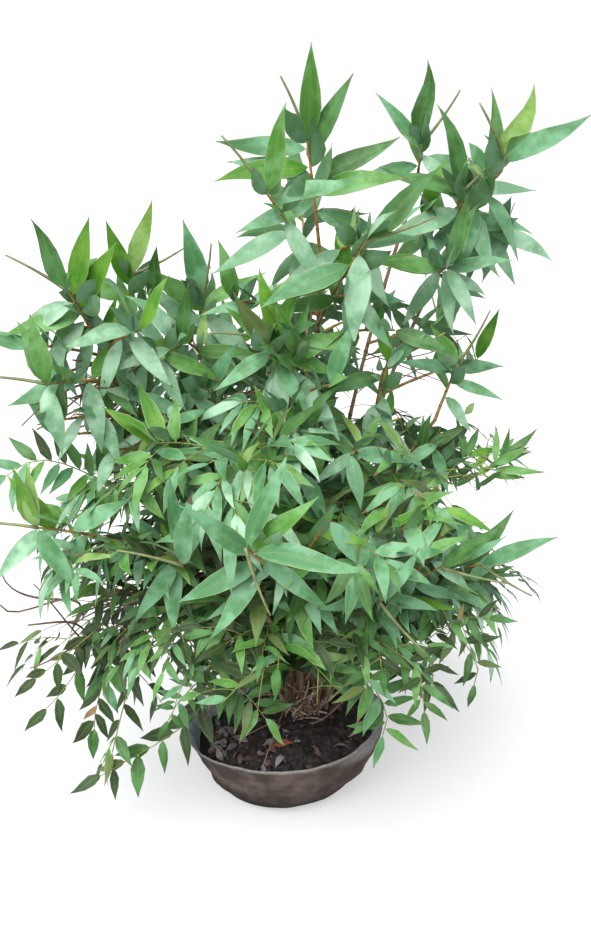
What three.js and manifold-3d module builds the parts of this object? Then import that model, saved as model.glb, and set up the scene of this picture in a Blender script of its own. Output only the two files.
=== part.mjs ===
// A clump of small-leaved bamboo standing in a soft, round grow bag.
// Millimetres, +Z up. The origin is the middle of the bag's flat underside, and it is seen from -Y.
import * as THREE from "three";
import Module from "manifold-3d";

const wasm = await Module();
wasm.setup();

// Grow bag and soil
const GAP = 0.3; // clearance between pieces that touch
const BAG_RIM_RADIUS = 150;
const BAG_BASE_RADIUS = 75;
const BAG_HEIGHT = 100;
const BAG_WALL = 4;
const BAG_FLOOR = 5;
const BAG_FLOOR_ROUND = 0.9; // the inside turns into the floor at this share of its lowest ring
const BAG_SWELL = 0.45; // the wall's radius grows with this power of its height
const BAG_RIM_TILT = 9; // the rim stands this much higher at the front right than at the back left
const BAG_RIM_HIGH_SIDE = -0.5; // radians from +X
const BAG_RIPPLE = 2.2;
const BAG_RIPPLES = 7;
const BAG_RIM_WAVE = 0.5; // the rim rises and falls by this share of the ripple
const BAG_SIDES = 32;
const BAG_LEVELS = [0, 0.08, 0.22, 0.5, 0.86, 1];
const SOIL_LEVELS = 5; // the soil fills the bag up to the last level but one
const SOIL_SIDE_GAP = 0.4;
const SOIL_TOP = 99;
const SOIL_FLAT = 48; // the clump stands on a level round of this radius
const SOIL_SLOPE_OUT = 0.75; // the soil falls away in two steps, and the first ends this far out to the wall
const SOIL_SLOPE_DROP = 0.6; // and this share of the way down to the soil's edge
const SOIL_LUMP = 2.5;
const SOIL_SEED = 7;

// Canes
const CLUMP = new THREE.Vector3(26, 30, SOIL_TOP + GAP);
const CLUMP_RADIUS = 34;
const CLUMP_HEART = 0.2; // the foot of an upright cane stands at this share of the clump's radius
const CANE_FOOT_RADIUS = 3.3;
const CANE_TIP_RADIUS = 2;
const CANE_SIDES = 5;
const CANE_STEPS = 8;
const CANE_LOW_RISE = 0.45; // height of the curve's lower handle, as a share of the cane's rise
const CANE_LOW_ARCH = 0.5; // share of the arch that the lower handle takes up
const CANE_HIGH_OUT = 0.7; // the upper handle lies this share of the way out to the end
const CANE_HIGH_DROP = 0.15; // and this share of the rise below the arch
const CANE_ROOM = 0.5; // kept free round each cane, so that a stem smoothed by a sliver still stands clear
const CANE_LAST = 0.99; // where the room round the cane's end begins

// Twigs and leaves
const TWIG_RADIUS = 1.5;
const TWIG_TIP_RADIUS = 0.9;
const TWIG_STEPS = 4;
const TWIG_SIDES = 3;
const STEM_BENDS = [0, 0.12, -0.12, 0.24, -0.24]; // ways to bend a stem, tried in turn until one is free
const LEAF_WIDTH = 0.3; // of its length
const LEAF_WIDEST = 0.32; // how far along the leaf it is widest
const LEAF_THICKEST = 0.1; // how far along it is thickest
const LEAF_THICKNESS = 0.02; // of its length
const LEAF_DROOP = 0.05; // how far its middle stands above the line from root to tip, of its length
const LEAF_ROOT = 1.3; // how far the root reaches past the twig's middle
const LEAF_NECK = 0.16; // past this share of its length a leaf touches nothing, its own shoot included
const LEAF_TURNS = [0, 0.3, -0.3, 0.6, -0.6]; // ways to turn a leaf off its own plane, tried in turn
const SLIVER = 0.2; // detail under this size is smoothed away when a shoot is fused
const TEST_MARGIN = 0.8; // how much thicker a leaf is made when it is tested against its neighbours
const TOUCHING = 1e-6; // cubic millimetres that two pieces share before they count as touching

const UP = new THREE.Vector3(0, 0, 1);
const TOWARDS_FRONT = new THREE.Vector3(0, -1, 0);
const BACK_FROM = 120; // shoots further back than this face away from the clump, and the others the front

// How a shoot of large leaves grows. Places along the stem are shares of its length.
const SHOOT = {
  seed: 101,
  lift: 0.06, // the stem's middle is raised by this share of its length
  lowest: 0.4, // place of the lowest leaf
  highest: 0.99, // place of the uppermost leaf
  lowestLength: 0.8, // the lowest leaf is shorter by this factor
  shortest: 0.92,
  lengthSpread: 0.16,
  leanSpread: 0.5, // leaves lean to the front and back over this range
  leanBack: 0.15,
  faceFront: 0.8, // a leaf's upper side faces a mix of front and up, turned a little to either side
  faceUp: 0.55,
  faceTurn: 0.6,
};

// Two more leaves give a shoot its depth, one backwards and one forwards.
const DEPTH_LEAVES = [
  { at: 0.5, lean: -1 },
  { at: 0.75, lean: 1 },
];
const DEPTH_LENGTH = 0.8;
const DEPTH_FAN = 90; // degrees
const DEPTH_TURN = 0.5;

// The new leaf at the tip of a shoot, still rolled up.
const SPEAR_LENGTH = 82;
const SPEAR_RADIUS = 1.4;
const SPEAR_TIP_RADIUS = 0.4;
const SPEAR_LEAN = 0.2;
const SPEAR_ROOT = 0.03; // it starts this share of its length inside the stem

// How a tuft of small leaves grows: an axis with side twigs, each with its leaves in two ranks.
const TUFT = {
  seed: 501,
  lift: 0.14,
  leaf: 82,
  axisLeaves: 3, // besides the one at the tip
  twigLeaves: 2,
  lowest: 0.4, // place of the lowest leaf on an axis or a twig
  highest: 0.98, // place of the leaf at the tip
  shortest: 0.85,
  lengthSpread: 0.3,
  spread: 50, // degrees between a leaf and its twig
  spreadMore: 15,
  sway: 0.3, // leaves rise and hang by this much, and hang more often
  hang: 0.6,
  faceUp: 0.8,
  faceOut: 0.6,
  firstTwig: 0.2, // place of the lowest twig
  twigSpan: 0.72, // share of the axis over which the twigs are spread
  twigAlong: 0.6,
  twigAside: 0.8,
  twigSway: 1.1,
  twigLongest: 1.1, // a twig's length at the axis's foot, as a share of the tuft's reach
  twigTaper: 0.4, // and how much shorter it is at the tip
  twigPoint: 0.8, // a twig's radius at its tip, as a share of that at its root
};

// Each cane ends at a point, and one that arches over first rises by arch above it.
const CANES = {
  tall: { end: [45, 0, 795], arch: 0 },
  right_tall: { end: [229, 55, 817], arch: 0 },
  back_right_tall: { end: [181, 130, 878], arch: 0 },
  left_front: { end: [-239, -60, 690], arch: 0 },
  left_inner: { end: [-116, 80, 655], arch: 0 },
  middle: { end: [4, -80, 640], arch: 0 },
  right_inner: { end: [114, -45, 577], arch: 0 },
  right_outer: { end: [200, -35, 590], arch: 0 },
  back_tall: { end: [30, 190, 745], arch: 0 },
  back_left: { end: [-130, 215, 590], arch: 0 },
  front_low: { end: [-5, -165, 400], arch: 60 },
  front_left_low: { end: [-190, -125, 440], arch: 50 },
  front_right_low: { end: [145, -115, 365], arch: 60 },
  right_low: { end: [225, -10, 320], arch: 70 },
  left_low: { end: [-240, 0, 300], arch: 80 },
  back_low: { end: [30, 265, 360], arch: 80 },
  back_right_low: { end: [235, 150, 330], arch: 80 },
};

// Shoots with a few large leaves. Each grows from a cane, at a share of the cane's length, to its own tip.
// bearings are the ways its leaves point, from the lowest leaf up, in degrees clockwise from straight up as
// seen from the side that the shoot faces, and spear is the bearing of its rolled leaf.
const SHOOTS = {
  top: { cane: "tall", at: 1, tip: [26, -20, 950], leaf: 116, spear: -24,
    bearings: [112, -110, 80, 62, -81, -98, 28, -85, 2] },
  top_left: { cane: "tall", at: 0.93, tip: [-23, -120, 893], leaf: 106, spear: -38,
    bearings: [185, -117, 150, 70, 13] },
  top_right: { cane: "tall", at: 0.8, tip: [96, -140, 841], leaf: 116, spear: 70,
    bearings: [100, -107, -114, 182, 45] },
  far_right_top: { cane: "right_tall", at: 0.96, tip: [276, -20, 923], leaf: 108, spear: -30,
    bearings: [165, 198, 150, -5, 20, 58] },
  right_top: { cane: "right_tall", at: 1, tip: [228, 10, 885], leaf: 108, spear: 40,
    bearings: [-140, 104, -112, 150, -70, -20] },
  right_shoulder: { cane: "right_tall", at: 0.86, tip: [205, -10, 795], leaf: 96, spear: 20,
    bearings: [116, -78, -150, 84, 30] },
  back_top: { cane: "back_right_tall", at: 1, tip: [185, 100, 944], leaf: 98, spear: 34,
    bearings: [152, -105, 103, 135, -42, 1] },
  left_outer: { cane: "left_front", at: 1, tip: [-264, -120, 778], leaf: 100, spear: -56,
    bearings: [190, -122, -114, 34, -120, 19, -21] },
  left_high: { cane: "left_front", at: 0.93, tip: [-209, 30, 776], leaf: 98, spear: 63,
    bearings: [160, 127, -70, -14, 17] },
  left_side: { cane: "left_front", at: 0.86, tip: [-284, -170, 675], leaf: 88, spear: -80,
    bearings: [138, 171, -108, -37, -25] },
  left_middle: { cane: "left_inner", at: 1, tip: [-121, 80, 735], leaf: 104, spear: 12,
    bearings: [146, -60, 132, -48, 64, -12] },
  left_hanging: { cane: "left_inner", at: 0.93, tip: [-134, -60, 706], leaf: 88, spear: -120,
    bearings: [150, 120, 95, 188, -140, -100, -48] },
  middle_top: { cane: "middle", at: 1, tip: [-15, -100, 715], leaf: 88, spear: -82,
    bearings: [-150, 200, 150, 110, -47, 21, -12] },
  right_middle: { cane: "right_inner", at: 1, tip: [129, -80, 682], leaf: 82, spear: 60,
    bearings: [-162, -126, 128, -105, 43, -10] },
  right_shoot: { cane: "right_outer", at: 1, tip: [227, -40, 670], leaf: 80, spear: 25,
    bearings: [142, -100, 109, -81, -37] },
  front_star: { cane: "front_low", at: 1, tip: [-44, -315, 526], leaf: 100, spear: 160,
    bearings: [94, -140, -117, 129, -47, 47, 24] },
  front_left_star: { cane: "front_left_low", at: 0.86, tip: [-123, -240, 469], leaf: 96, spear: -70,
    bearings: [163, 180, -146, -4, 10] },
  left_star: { cane: "front_left_low", at: 1, tip: [-298, -220, 510], leaf: 88, spear: -80,
    bearings: [157, -141, 60, -36, -12] },
  right_star: { cane: "front_right_low", at: 1, tip: [189, -220, 458], leaf: 92, spear: 100,
    bearings: [111, -145, -95, 60, 46] },
  right_low_star: { cane: "right_low", at: 0.75, tip: [266, -80, 397], leaf: 92, spear: 120,
    bearings: [160, 136, 40, 90] },
  front_right_star: { cane: "front_right_low", at: 0.84, tip: [113, -250, 425], leaf: 76, spear: 137,
    bearings: [-142, 110, -98, 29] },
  back_tall_top: { cane: "back_tall", at: 1, tip: [20, 230, 850], leaf: 108, spear: 20,
    bearings: [140, -130, 95, -80, 50, -40, 5] },
  back_left_top: { cane: "back_left", at: 1, tip: [-165, 265, 660], leaf: 92, spear: -30,
    bearings: [150, -130, 90, -70, 30, -15] },
  back_right_top: { cane: "back_right_tall", at: 0.62, tip: [250, 245, 650], leaf: 92, spear: 35,
    bearings: [-150, 120, -85, 65, -30, 15] },
};

// Tufts: the cane that each grows from, its own tip, how many side twigs it has and how far they reach.
const TUFTS = {
  centre: { cane: "right_inner", at: 0.72, tip: [60, -180, 475], twigs: 6, reach: 100 },
  centre_left: { cane: "middle", at: 0.74, tip: [-95, -170, 575], twigs: 6, reach: 100 },
  left_heart: { cane: "left_front", at: 0.62, tip: [-285, -110, 455], twigs: 6, reach: 95 },
  right_heart: { cane: "right_outer", at: 0.7, tip: [205, -95, 515], twigs: 5, reach: 90 },
  right_fringe: { cane: "right_outer", at: 0.84, tip: [296, 40, 520], twigs: 4, reach: 60 },
  front_skirt: { cane: "front_low", at: 0.72, tip: [-10, -265, 345], twigs: 5, reach: 85 },
  front_left_skirt: { cane: "front_left_low", at: 0.7, tip: [-175, -190, 335], twigs: 6, reach: 95 },
  front_right_skirt: { cane: "front_right_low", at: 0.72, tip: [120, -220, 320], twigs: 5, reach: 75 },
  right_skirt: { cane: "right_low", at: 1, tip: [262, -90, 300], twigs: 4, reach: 65 },
  left_skirt: { cane: "left_low", at: 1, tip: [-325, -60, 262], twigs: 5, reach: 75 },
  left_hanging_frond: { cane: "left_low", at: 0.8, tip: [-238, -175, 160], twigs: 3, reach: 50 },
  back_middle: { cane: "back_tall", at: 0.72, tip: [10, 285, 560], twigs: 6, reach: 95 },
  back_left_middle: { cane: "back_left", at: 0.8, tip: [-245, 170, 470], twigs: 6, reach: 90 },
  back_right_middle: { cane: "back_right_tall", at: 0.55, tip: [235, 190, 450], twigs: 6, reach: 90 },
  back_left_skirt: { cane: "back_left", at: 0.55, tip: [-260, 225, 275], twigs: 6, reach: 90 },
  back_skirt: { cane: "back_low", at: 1, tip: [40, 330, 295], twigs: 6, reach: 95 },
  back_right_skirt: { cane: "back_right_low", at: 1, tip: [315, 190, 270], twigs: 6, reach: 90 },
};

// Linear congruential numbers from 0 to 1, the same ones for the same seed.
function seeded(seed) {
  let state = seed >>> 0;
  return () => {
    state = (Math.imul(state, 1664525) + 1013904223) >>> 0;
    return state / 4294967296;
  };
}

const vector = (p) => new THREE.Vector3(p[0], p[1], p[2]);
const mix = (a, b, t) => a.clone().lerp(b, t);
const radians = THREE.MathUtils.degToRad;

function solidFrom(positions, triangles) {
  const mesh = new wasm.Mesh({
    numProp: 3,
    vertProperties: new Float32Array(positions),
    triVerts: new Uint32Array(triangles),
  });
  return new wasm.Manifold(mesh);
}

// A closed body from rings of points with the same count: each ring joined to the next, and both ends closed.
function loft(rings) {
  const count = rings[0].length;
  const positions = [];
  const triangles = [];
  for (const ring of rings) {
    for (const p of ring) positions.push(p.x, p.y, p.z);
  }
  for (let r = 0; r + 1 < rings.length; r += 1) {
    for (let i = 0; i < count; i += 1) {
      const a = r * count + i;
      const b = r * count + ((i + 1) % count);
      triangles.push(a, b, b + count, a, b + count, a + count);
    }
  }
  const last = (rings.length - 1) * count;
  for (let i = 1; i + 1 < count; i += 1) {
    triangles.push(0, i + 1, i);
    triangles.push(last, last + i, last + i + 1);
  }
  return solidFrom(positions, triangles);
}

// A tapering rod with flat ends along a curve.
function rod(curve, steps, footRadius, tipRadius, sides) {
  const run = curve.getPoint(1).sub(curve.getPoint(0));
  const across = Math.abs(run.z) > Math.abs(run.x) ? new THREE.Vector3(1, 0, 0) : UP;
  const rings = [];
  for (let step = 0; step <= steps; step += 1) {
    const t = step / steps;
    const centre = curve.getPoint(t);
    const tangent = curve.getTangent(t);
    const u = new THREE.Vector3().crossVectors(across, tangent).normalize();
    const v = new THREE.Vector3().crossVectors(tangent, u);
    const radius = THREE.MathUtils.lerp(footRadius, tipRadius, t);
    const ring = [];
    for (let i = 0; i < sides; i += 1) {
      const angle = (i / sides) * 2 * Math.PI;
      const p = centre.clone().addScaledVector(u, radius * Math.cos(angle));
      ring.push(p.addScaledVector(v, radius * Math.sin(angle)));
    }
    rings.push(ring);
  }
  return loft(rings);
}

// The point on a rod's own middle line, which is straight from step to step.
function onRod(curve, t, steps) {
  const step = Math.min(Math.floor(t * steps), steps - 1);
  return mix(curve.getPoint(step / steps), curve.getPoint((step + 1) / steps), t * steps - step);
}

// A point on the grow bag's wall, inset from its outer face, at a share of the height that the rim has there.
function bagPoint(angle, share, inset) {
  const ripple = BAG_RIPPLE * share * Math.sin(BAG_RIPPLES * angle);
  const swell = Math.pow(share, BAG_SWELL);
  const radius = BAG_BASE_RADIUS + (BAG_RIM_RADIUS - BAG_BASE_RADIUS) * swell + ripple - inset;
  const rim = BAG_HEIGHT + BAG_RIM_TILT * Math.cos(angle - BAG_RIM_HIGH_SIDE) + BAG_RIM_WAVE * ripple;
  return new THREE.Vector3(radius * Math.cos(angle), radius * Math.sin(angle), share * rim);
}

function bagRing(share, inset) {
  const ring = [];
  for (let i = 0; i < BAG_SIDES; i += 1) ring.push(bagPoint((i / BAG_SIDES) * 2 * Math.PI, share, inset));
  return ring;
}

const floorRing = (ring, z) => ring.map((p) => p.clone().multiplyScalar(BAG_FLOOR_ROUND).setZ(z));

function growBag() {
  const outside = BAG_LEVELS.map((share) => bagRing(share, 0));
  const inside = BAG_LEVELS.slice(1).reverse().map((share) => bagRing(share, BAG_WALL));
  return loft([...outside, ...inside, floorRing(inside[inside.length - 1], BAG_FLOOR)]);
}

function pottingSoil() {
  const wall = BAG_LEVELS.slice(1, SOIL_LEVELS).map((share) => bagRing(share, BAG_WALL + SOIL_SIDE_GAP));
  const edge = wall[wall.length - 1];
  const random = seeded(SOIL_SEED);
  const slope = edge.map((p) => {
    const lump = SOIL_LUMP * (random() - 0.5);
    return mix(CLUMP, p, SOIL_SLOPE_OUT).setZ(THREE.MathUtils.lerp(SOIL_TOP, p.z, SOIL_SLOPE_DROP) + lump);
  });
  const level = edge.map((p) => {
    const outwards = p.clone().sub(CLUMP).setZ(0).setLength(SOIL_FLAT);
    return outwards.add(CLUMP).setZ(SOIL_TOP);
  });
  return loft([floorRing(wall[0], BAG_FLOOR + GAP), ...wall, slope, level]);
}

// Canes are cut flat at the soil, each on the side it leans to, and the more it leans the further out.
function caneCurve(name) {
  const { arch } = CANES[name];
  const end = vector(CANES[name].end);
  const run = end.clone().sub(CLUMP).setZ(0);
  const rise = end.z - SOIL_TOP;
  const ring = CLUMP_RADIUS * Math.min(1, CLUMP_HEART + run.length() / rise);
  const foot = CLUMP.clone().addScaledVector(run.normalize(), ring);
  const low = foot.clone().setZ(foot.z + CANE_LOW_RISE * rise + CANE_LOW_ARCH * arch);
  const high = mix(foot, end, CANE_HIGH_OUT).setZ(end.z + arch - CANE_HIGH_DROP * rise);
  return new THREE.CubicBezierCurve3(foot, low, high, end);
}

// The cane itself when more is 0, or else the space that far round it and past its end.
function caneRod(curve, more) {
  const foot = CANE_FOOT_RADIUS + more;
  const tip = CANE_TIP_RADIUS + more;
  const whole = rod(curve, CANE_STEPS, foot, tip, CANE_SIDES);
  if (more === 0) return whole;
  const beyond = curve.getPoint(1).addScaledVector(curve.getTangent(1), more);
  const end = new THREE.LineCurve3(curve.getPoint(CANE_LAST), beyond);
  return whole.add(rod(end, 1, tip, tip, CANE_SIDES));
}

// A leaf of eight faces: root, tip, two edges and the middle of both sides.
function leafSolid(leaf, margin = 0) {
  const along = leaf.tip.clone().sub(leaf.root);
  const length = along.length();
  along.divideScalar(length);
  const side = new THREE.Vector3().crossVectors(along, leaf.face).normalize();
  const normal = new THREE.Vector3().crossVectors(side, along);
  const thick = (length * LEAF_THICKNESS + margin) / 2;
  const wide = (length * LEAF_WIDTH + margin) / 2;
  const middle = leaf.root.clone().addScaledVector(along, length * LEAF_WIDEST);
  middle.addScaledVector(normal, length * LEAF_DROOP);
  const ridge = leaf.root.clone().addScaledVector(along, length * LEAF_THICKEST);
  ridge.addScaledVector(normal, (length * LEAF_DROOP * LEAF_THICKEST) / LEAF_WIDEST);
  const corners = [
    leaf.root.clone().addScaledVector(along, -LEAF_ROOT),
    leaf.tip.clone().addScaledVector(along, margin),
    middle.clone().addScaledVector(side, wide),
    middle.clone().addScaledVector(side, -wide),
    ridge.clone().addScaledVector(normal, thick),
    ridge.clone().addScaledVector(normal, -thick),
  ];
  const positions = corners.flatMap((p) => [p.x, p.y, p.z]);
  const [root, tip, right, left, top, under] = [0, 1, 2, 3, 4, 5];
  return solidFrom(positions, [
    root, right, top, right, tip, top, tip, left, top, left, root, top,
    right, root, under, tip, right, under, left, tip, under, root, left, under,
  ]);
}

// What is already placed, so that nothing is grown into it.
const placed = [];

function boxOf(solid) {
  const { min, max } = solid.boundingBox();
  return new THREE.Box3(vector(min), vector(max));
}

// A leaf has an outer part, past its neck, which is the part tested against the rest of its own shoot.
function isFree(solid, owner, outer = null) {
  const box = boxOf(solid);
  return placed.every((other) => {
    const own = other.owner === owner;
    if (!other.box.intersectsBox(box) || (own && !outer)) return true;
    return other.solid.intersect(own ? outer : solid).volume() < TOUCHING;
  });
}

function keep(solid, owner, tested = solid) {
  placed.push({ solid: tested, box: boxOf(tested), owner });
  return solid;
}

// The largest body of a solid, without loose scraps and sealed hollows.
function largest(solid) {
  const bodies = solid.decompose();
  return bodies.reduce((best, body) => (body.volume() > best.volume() ? body : best), bodies[0]);
}

function outwards(tip) {
  return new THREE.Vector3(tip.x - CLUMP.x, tip.y - CLUMP.y, 0).normalize();
}

function stemCurve(start, tip, lift) {
  const middle = mix(start, tip, 0.5);
  middle.z += lift * start.distanceTo(tip);
  return new THREE.QuadraticBezierCurve3(start, middle, tip);
}

// The stem of a shoot starts on its cane, cut clear of it, and bends another way where it would touch.
function addStem(parts, owner, row, lift) {
  const start = canes[row.cane].curve.getPoint(row.at);
  for (const bend of STEM_BENDS) {
    const curve = stemCurve(start, vector(row.tip), lift + bend);
    const whole = rod(curve, TWIG_STEPS, TWIG_RADIUS, TWIG_TIP_RADIUS, TWIG_SIDES);
    const stem = largest(whole.subtract(canes[row.cane].room));
    if (isFree(stem, owner)) {
      parts.push(keep(stem, owner));
      return curve;
    }
  }
  throw new Error(`no free way for the stem of ${owner}`);
}

// A leaf that finds no free way to point is left out.
function addLeaf(parts, owner, root, direction, length, face) {
  for (const turn of LEAF_TURNS) {
    const way = direction.clone().addScaledVector(face, turn).normalize();
    const leaf = { root, tip: root.clone().addScaledVector(way, length), face };
    const tested = leafSolid(leaf, TEST_MARGIN);
    const outer = leafSolid({ root: mix(leaf.root, leaf.tip, LEAF_NECK), tip: leaf.tip, face });
    if (isFree(tested, owner, outer)) {
      parts.push(keep(leafSolid(leaf), owner, tested));
      return;
    }
  }
}

function growShoot(name, seed) {
  const row = SHOOTS[name];
  const random = seeded(seed);
  const parts = [];
  const stem = addStem(parts, name, row, SHOOT.lift);
  const front = row.tip[1] < BACK_FROM ? TOWARDS_FRONT : outwards(vector(row.tip));
  const side = new THREE.Vector3().crossVectors(UP, front);
  const point = (bearing, lean) => {
    const way = side.clone().multiplyScalar(Math.sin(radians(bearing)));
    way.addScaledVector(UP, Math.cos(radians(bearing)));
    return way.addScaledVector(front, lean).normalize();
  };
  const last = row.bearings.length - 1;
  row.bearings.forEach((bearing, i) => {
    const t = SHOOT.highest * (SHOOT.lowest + ((1 - SHOOT.lowest) * i) / last);
    const way = point(bearing, SHOOT.leanSpread * random() - SHOOT.leanBack);
    const face = front.clone().multiplyScalar(SHOOT.faceFront).addScaledVector(UP, SHOOT.faceUp);
    face.addScaledVector(side, SHOOT.faceTurn * (random() - 0.5)).normalize();
    const length = row.leaf * (SHOOT.shortest + SHOOT.lengthSpread * random());
    const root = onRod(stem, t, TWIG_STEPS);
    addLeaf(parts, name, root, way, i === 0 ? length * SHOOT.lowestLength : length, face);
  });
  for (const { at, lean } of DEPTH_LEAVES) {
    const way = point(DEPTH_FAN * (random() - 0.5), lean);
    const face = mix(UP, side, DEPTH_TURN * random()).normalize();
    addLeaf(parts, name, onRod(stem, at, TWIG_STEPS), way, DEPTH_LENGTH * row.leaf, face);
  }
  const tip = stem.getPoint(1);
  const spearTip = tip.clone().addScaledVector(point(row.spear, SPEAR_LEAN), SPEAR_LENGTH);
  const spearLine = new THREE.LineCurve3(mix(tip, spearTip, -SPEAR_ROOT), spearTip);
  const spear = rod(spearLine, 1, SPEAR_RADIUS, SPEAR_TIP_RADIUS, TWIG_SIDES);
  if (isFree(spear, name)) parts.push(keep(spear, name));
  return parts;
}

function growTuft(name, seed) {
  const row = TUFTS[name];
  const random = seeded(seed);
  const parts = [];
  const stem = addStem(parts, name, row, TUFT.lift);
  const face = UP.clone().multiplyScalar(TUFT.faceUp);
  face.addScaledVector(outwards(vector(row.tip)), TUFT.faceOut).normalize();

  // The way along a curve and the way to its left or right, which take turns.
  const ways = (curve, t, turn) => {
    const along = curve.getTangent(t);
    const side = new THREE.Vector3().crossVectors(along, face).normalize();
    return { along, side: turn % 2 ? side.negate() : side };
  };
  const addRanks = (curve, steps, count) => {
    for (let j = 0; j < count; j += 1) {
      const t = TUFT.lowest + ((1 - TUFT.lowest) * j) / count;
      const { along, side } = ways(curve, t, j);
      const spread = radians(TUFT.spread + TUFT.spreadMore * random());
      const way = along.multiplyScalar(Math.cos(spread)).addScaledVector(side, Math.sin(spread));
      way.addScaledVector(UP, TUFT.sway * (random() - TUFT.hang)).normalize();
      const length = TUFT.leaf * (TUFT.shortest + TUFT.lengthSpread * random());
      addLeaf(parts, name, onRod(curve, t, steps), way, length, face);
    }
    addLeaf(parts, name, onRod(curve, TUFT.highest, steps), curve.getTangent(1), TUFT.leaf, face);
  };

  addRanks(stem, TWIG_STEPS, TUFT.axisLeaves);
  for (let k = 0; k < row.twigs; k += 1) {
    const t = TUFT.firstTwig + (TUFT.twigSpan * k) / (row.twigs - 1);
    const { along, side } = ways(stem, t, k);
    const way = along.multiplyScalar(TUFT.twigAlong).addScaledVector(side, TUFT.twigAside);
    way.addScaledVector(face, TUFT.twigSway * (random() - 0.5)).normalize();
    const reach = row.reach * (TUFT.twigLongest - TUFT.twigTaper * t);
    const length = reach * (TUFT.shortest + TUFT.lengthSpread * random());
    const root = onRod(stem, t, TWIG_STEPS);
    const line = new THREE.LineCurve3(root, root.clone().addScaledVector(way, length));
    const twig = rod(line, 1, TWIG_TIP_RADIUS, TWIG_TIP_RADIUS * TUFT.twigPoint, TWIG_SIDES);
    if (isFree(twig, name)) {
      parts.push(keep(twig, name));
      addRanks(line, 1, TUFT.twigLeaves);
    }
  }
  return parts;
}

// One body from the pieces of a shoot, without the slivers that fusing leaves, and clear of its own cane.
function fused(parts, row) {
  const smooth = wasm.Manifold.union(parts).asOriginal().simplify(SLIVER);
  return largest(smooth.subtract(canes[row.cane].room));
}

function material(hex, roughness) {
  return new THREE.MeshStandardMaterial({ color: hex, roughness, metalness: 0 });
}

const BAG_CLOTH = material(0x6f6860, 0.9);
const SOIL = material(0x1d1814, 1);
const CANE = material(0x8a7a3c, 0.5);
const FOLIAGE = material(0x4f8a52, 0.55);

const plant = new THREE.Group();

function addMesh(name, solid, look) {
  const { vertProperties, triVerts } = solid.getMesh();
  const geometry = new THREE.BufferGeometry();
  geometry.setAttribute("position", new THREE.BufferAttribute(vertProperties, 3));
  geometry.setIndex(new THREE.BufferAttribute(triVerts, 1));
  geometry.computeVertexNormals();
  const mesh = new THREE.Mesh(geometry, look);
  mesh.name = name;
  plant.add(mesh);
}

addMesh("grow_bag", keep(growBag(), "grow_bag"), BAG_CLOTH);
addMesh("potting_soil", keep(pottingSoil(), "potting_soil"), SOIL);

const canes = {};
Object.keys(CANES).forEach((name) => {
  const curve = caneCurve(name);
  const room = caneRod(curve, CANE_ROOM);
  canes[name] = { curve, room };
  addMesh(`cane_${name}`, keep(caneRod(curve, 0), name, room), CANE);
});

Object.keys(SHOOTS).forEach((name, index) => {
  addMesh(`leaves_${name}`, fused(growShoot(name, SHOOT.seed + index), SHOOTS[name]), FOLIAGE);
});
Object.keys(TUFTS).forEach((name, index) => {
  addMesh(`leaves_${name}`, fused(growTuft(name, TUFT.seed + index), TUFTS[name]), FOLIAGE);
});

export default plant;
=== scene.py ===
# %% [markdown]
# # A bamboo in a grow bag
# The plant is a clump of thin canes in a soft, slumped bag. Long leaves stand in stars at the ends of the
# tall shoots, and hundreds of short ones fill the middle. The solid model fixes every size and place. This
# script puts the fine surfaces over it: cloth, crumbly soil, jointed canes, and leaves with a fold and a
# tip.

import bpy
import numpy as np
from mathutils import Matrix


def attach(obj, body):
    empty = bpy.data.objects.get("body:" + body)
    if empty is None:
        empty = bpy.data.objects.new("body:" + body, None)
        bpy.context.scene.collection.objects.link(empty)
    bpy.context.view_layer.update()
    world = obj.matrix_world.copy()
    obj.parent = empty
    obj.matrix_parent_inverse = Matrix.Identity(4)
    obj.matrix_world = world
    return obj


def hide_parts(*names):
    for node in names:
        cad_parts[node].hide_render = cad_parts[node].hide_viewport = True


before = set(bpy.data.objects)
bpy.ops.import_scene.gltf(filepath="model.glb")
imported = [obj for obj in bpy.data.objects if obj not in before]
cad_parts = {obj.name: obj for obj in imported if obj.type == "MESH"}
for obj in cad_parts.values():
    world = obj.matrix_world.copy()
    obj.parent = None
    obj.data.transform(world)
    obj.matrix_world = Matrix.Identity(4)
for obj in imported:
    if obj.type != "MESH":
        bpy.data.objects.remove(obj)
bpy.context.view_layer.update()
MASSES = sorted(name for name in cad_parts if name.startswith("leaves_"))
MM = 0.001

# %% [markdown]
# The camera stands as far off and looks down as steeply as the one that took the photograph. Its lens comes
# from the focal length in pixels that fits the round rim of the bag, for a picture 931 pixels high.

# %% Camera
FOCAL_PIXELS, FRAME_HEIGHT, SENSOR = 990, 931, 36.0
CAMERA_AT, CAMERA_DOWN = (0.0115, -1.32, 0.972), 19.18  # metres, and degrees below level
camera_data = bpy.data.cameras.new("camera")
camera_data.sensor_width = SENSOR
camera_data.lens = FOCAL_PIXELS / FRAME_HEIGHT * SENSOR
camera = bpy.data.objects.new("camera", camera_data)
camera.location = CAMERA_AT
camera.rotation_euler = (np.radians(90 - CAMERA_DOWN), 0, 0)
bpy.context.scene.collection.objects.link(camera)
bpy.context.scene.camera = camera
print("lens", round(camera_data.lens, 2))

# %% [markdown]
# Chance has to fall the same way each time, or the plant would change from one render to the next. The
# solid model draws its numbers from a short rule, and the same rule here gives the same twigs and leaves.
# What is finer than the solids draws from numpy's own generator, with a fixed seed.


# %% Chance that repeats
def seeded(seed):
    """Numbers from 0 to 1. Each state is the last one times 1664525 plus 1013904223, kept to 32 bits."""
    state = seed
    while True:
        state = (state * 1664525 + 1013904223) % 2**32
        yield state / 2**32


def unit(v):
    """A vector divided by its own length."""
    v = np.asarray(v, float)
    return v / np.linalg.norm(v, axis=-1, keepdims=True)


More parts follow.
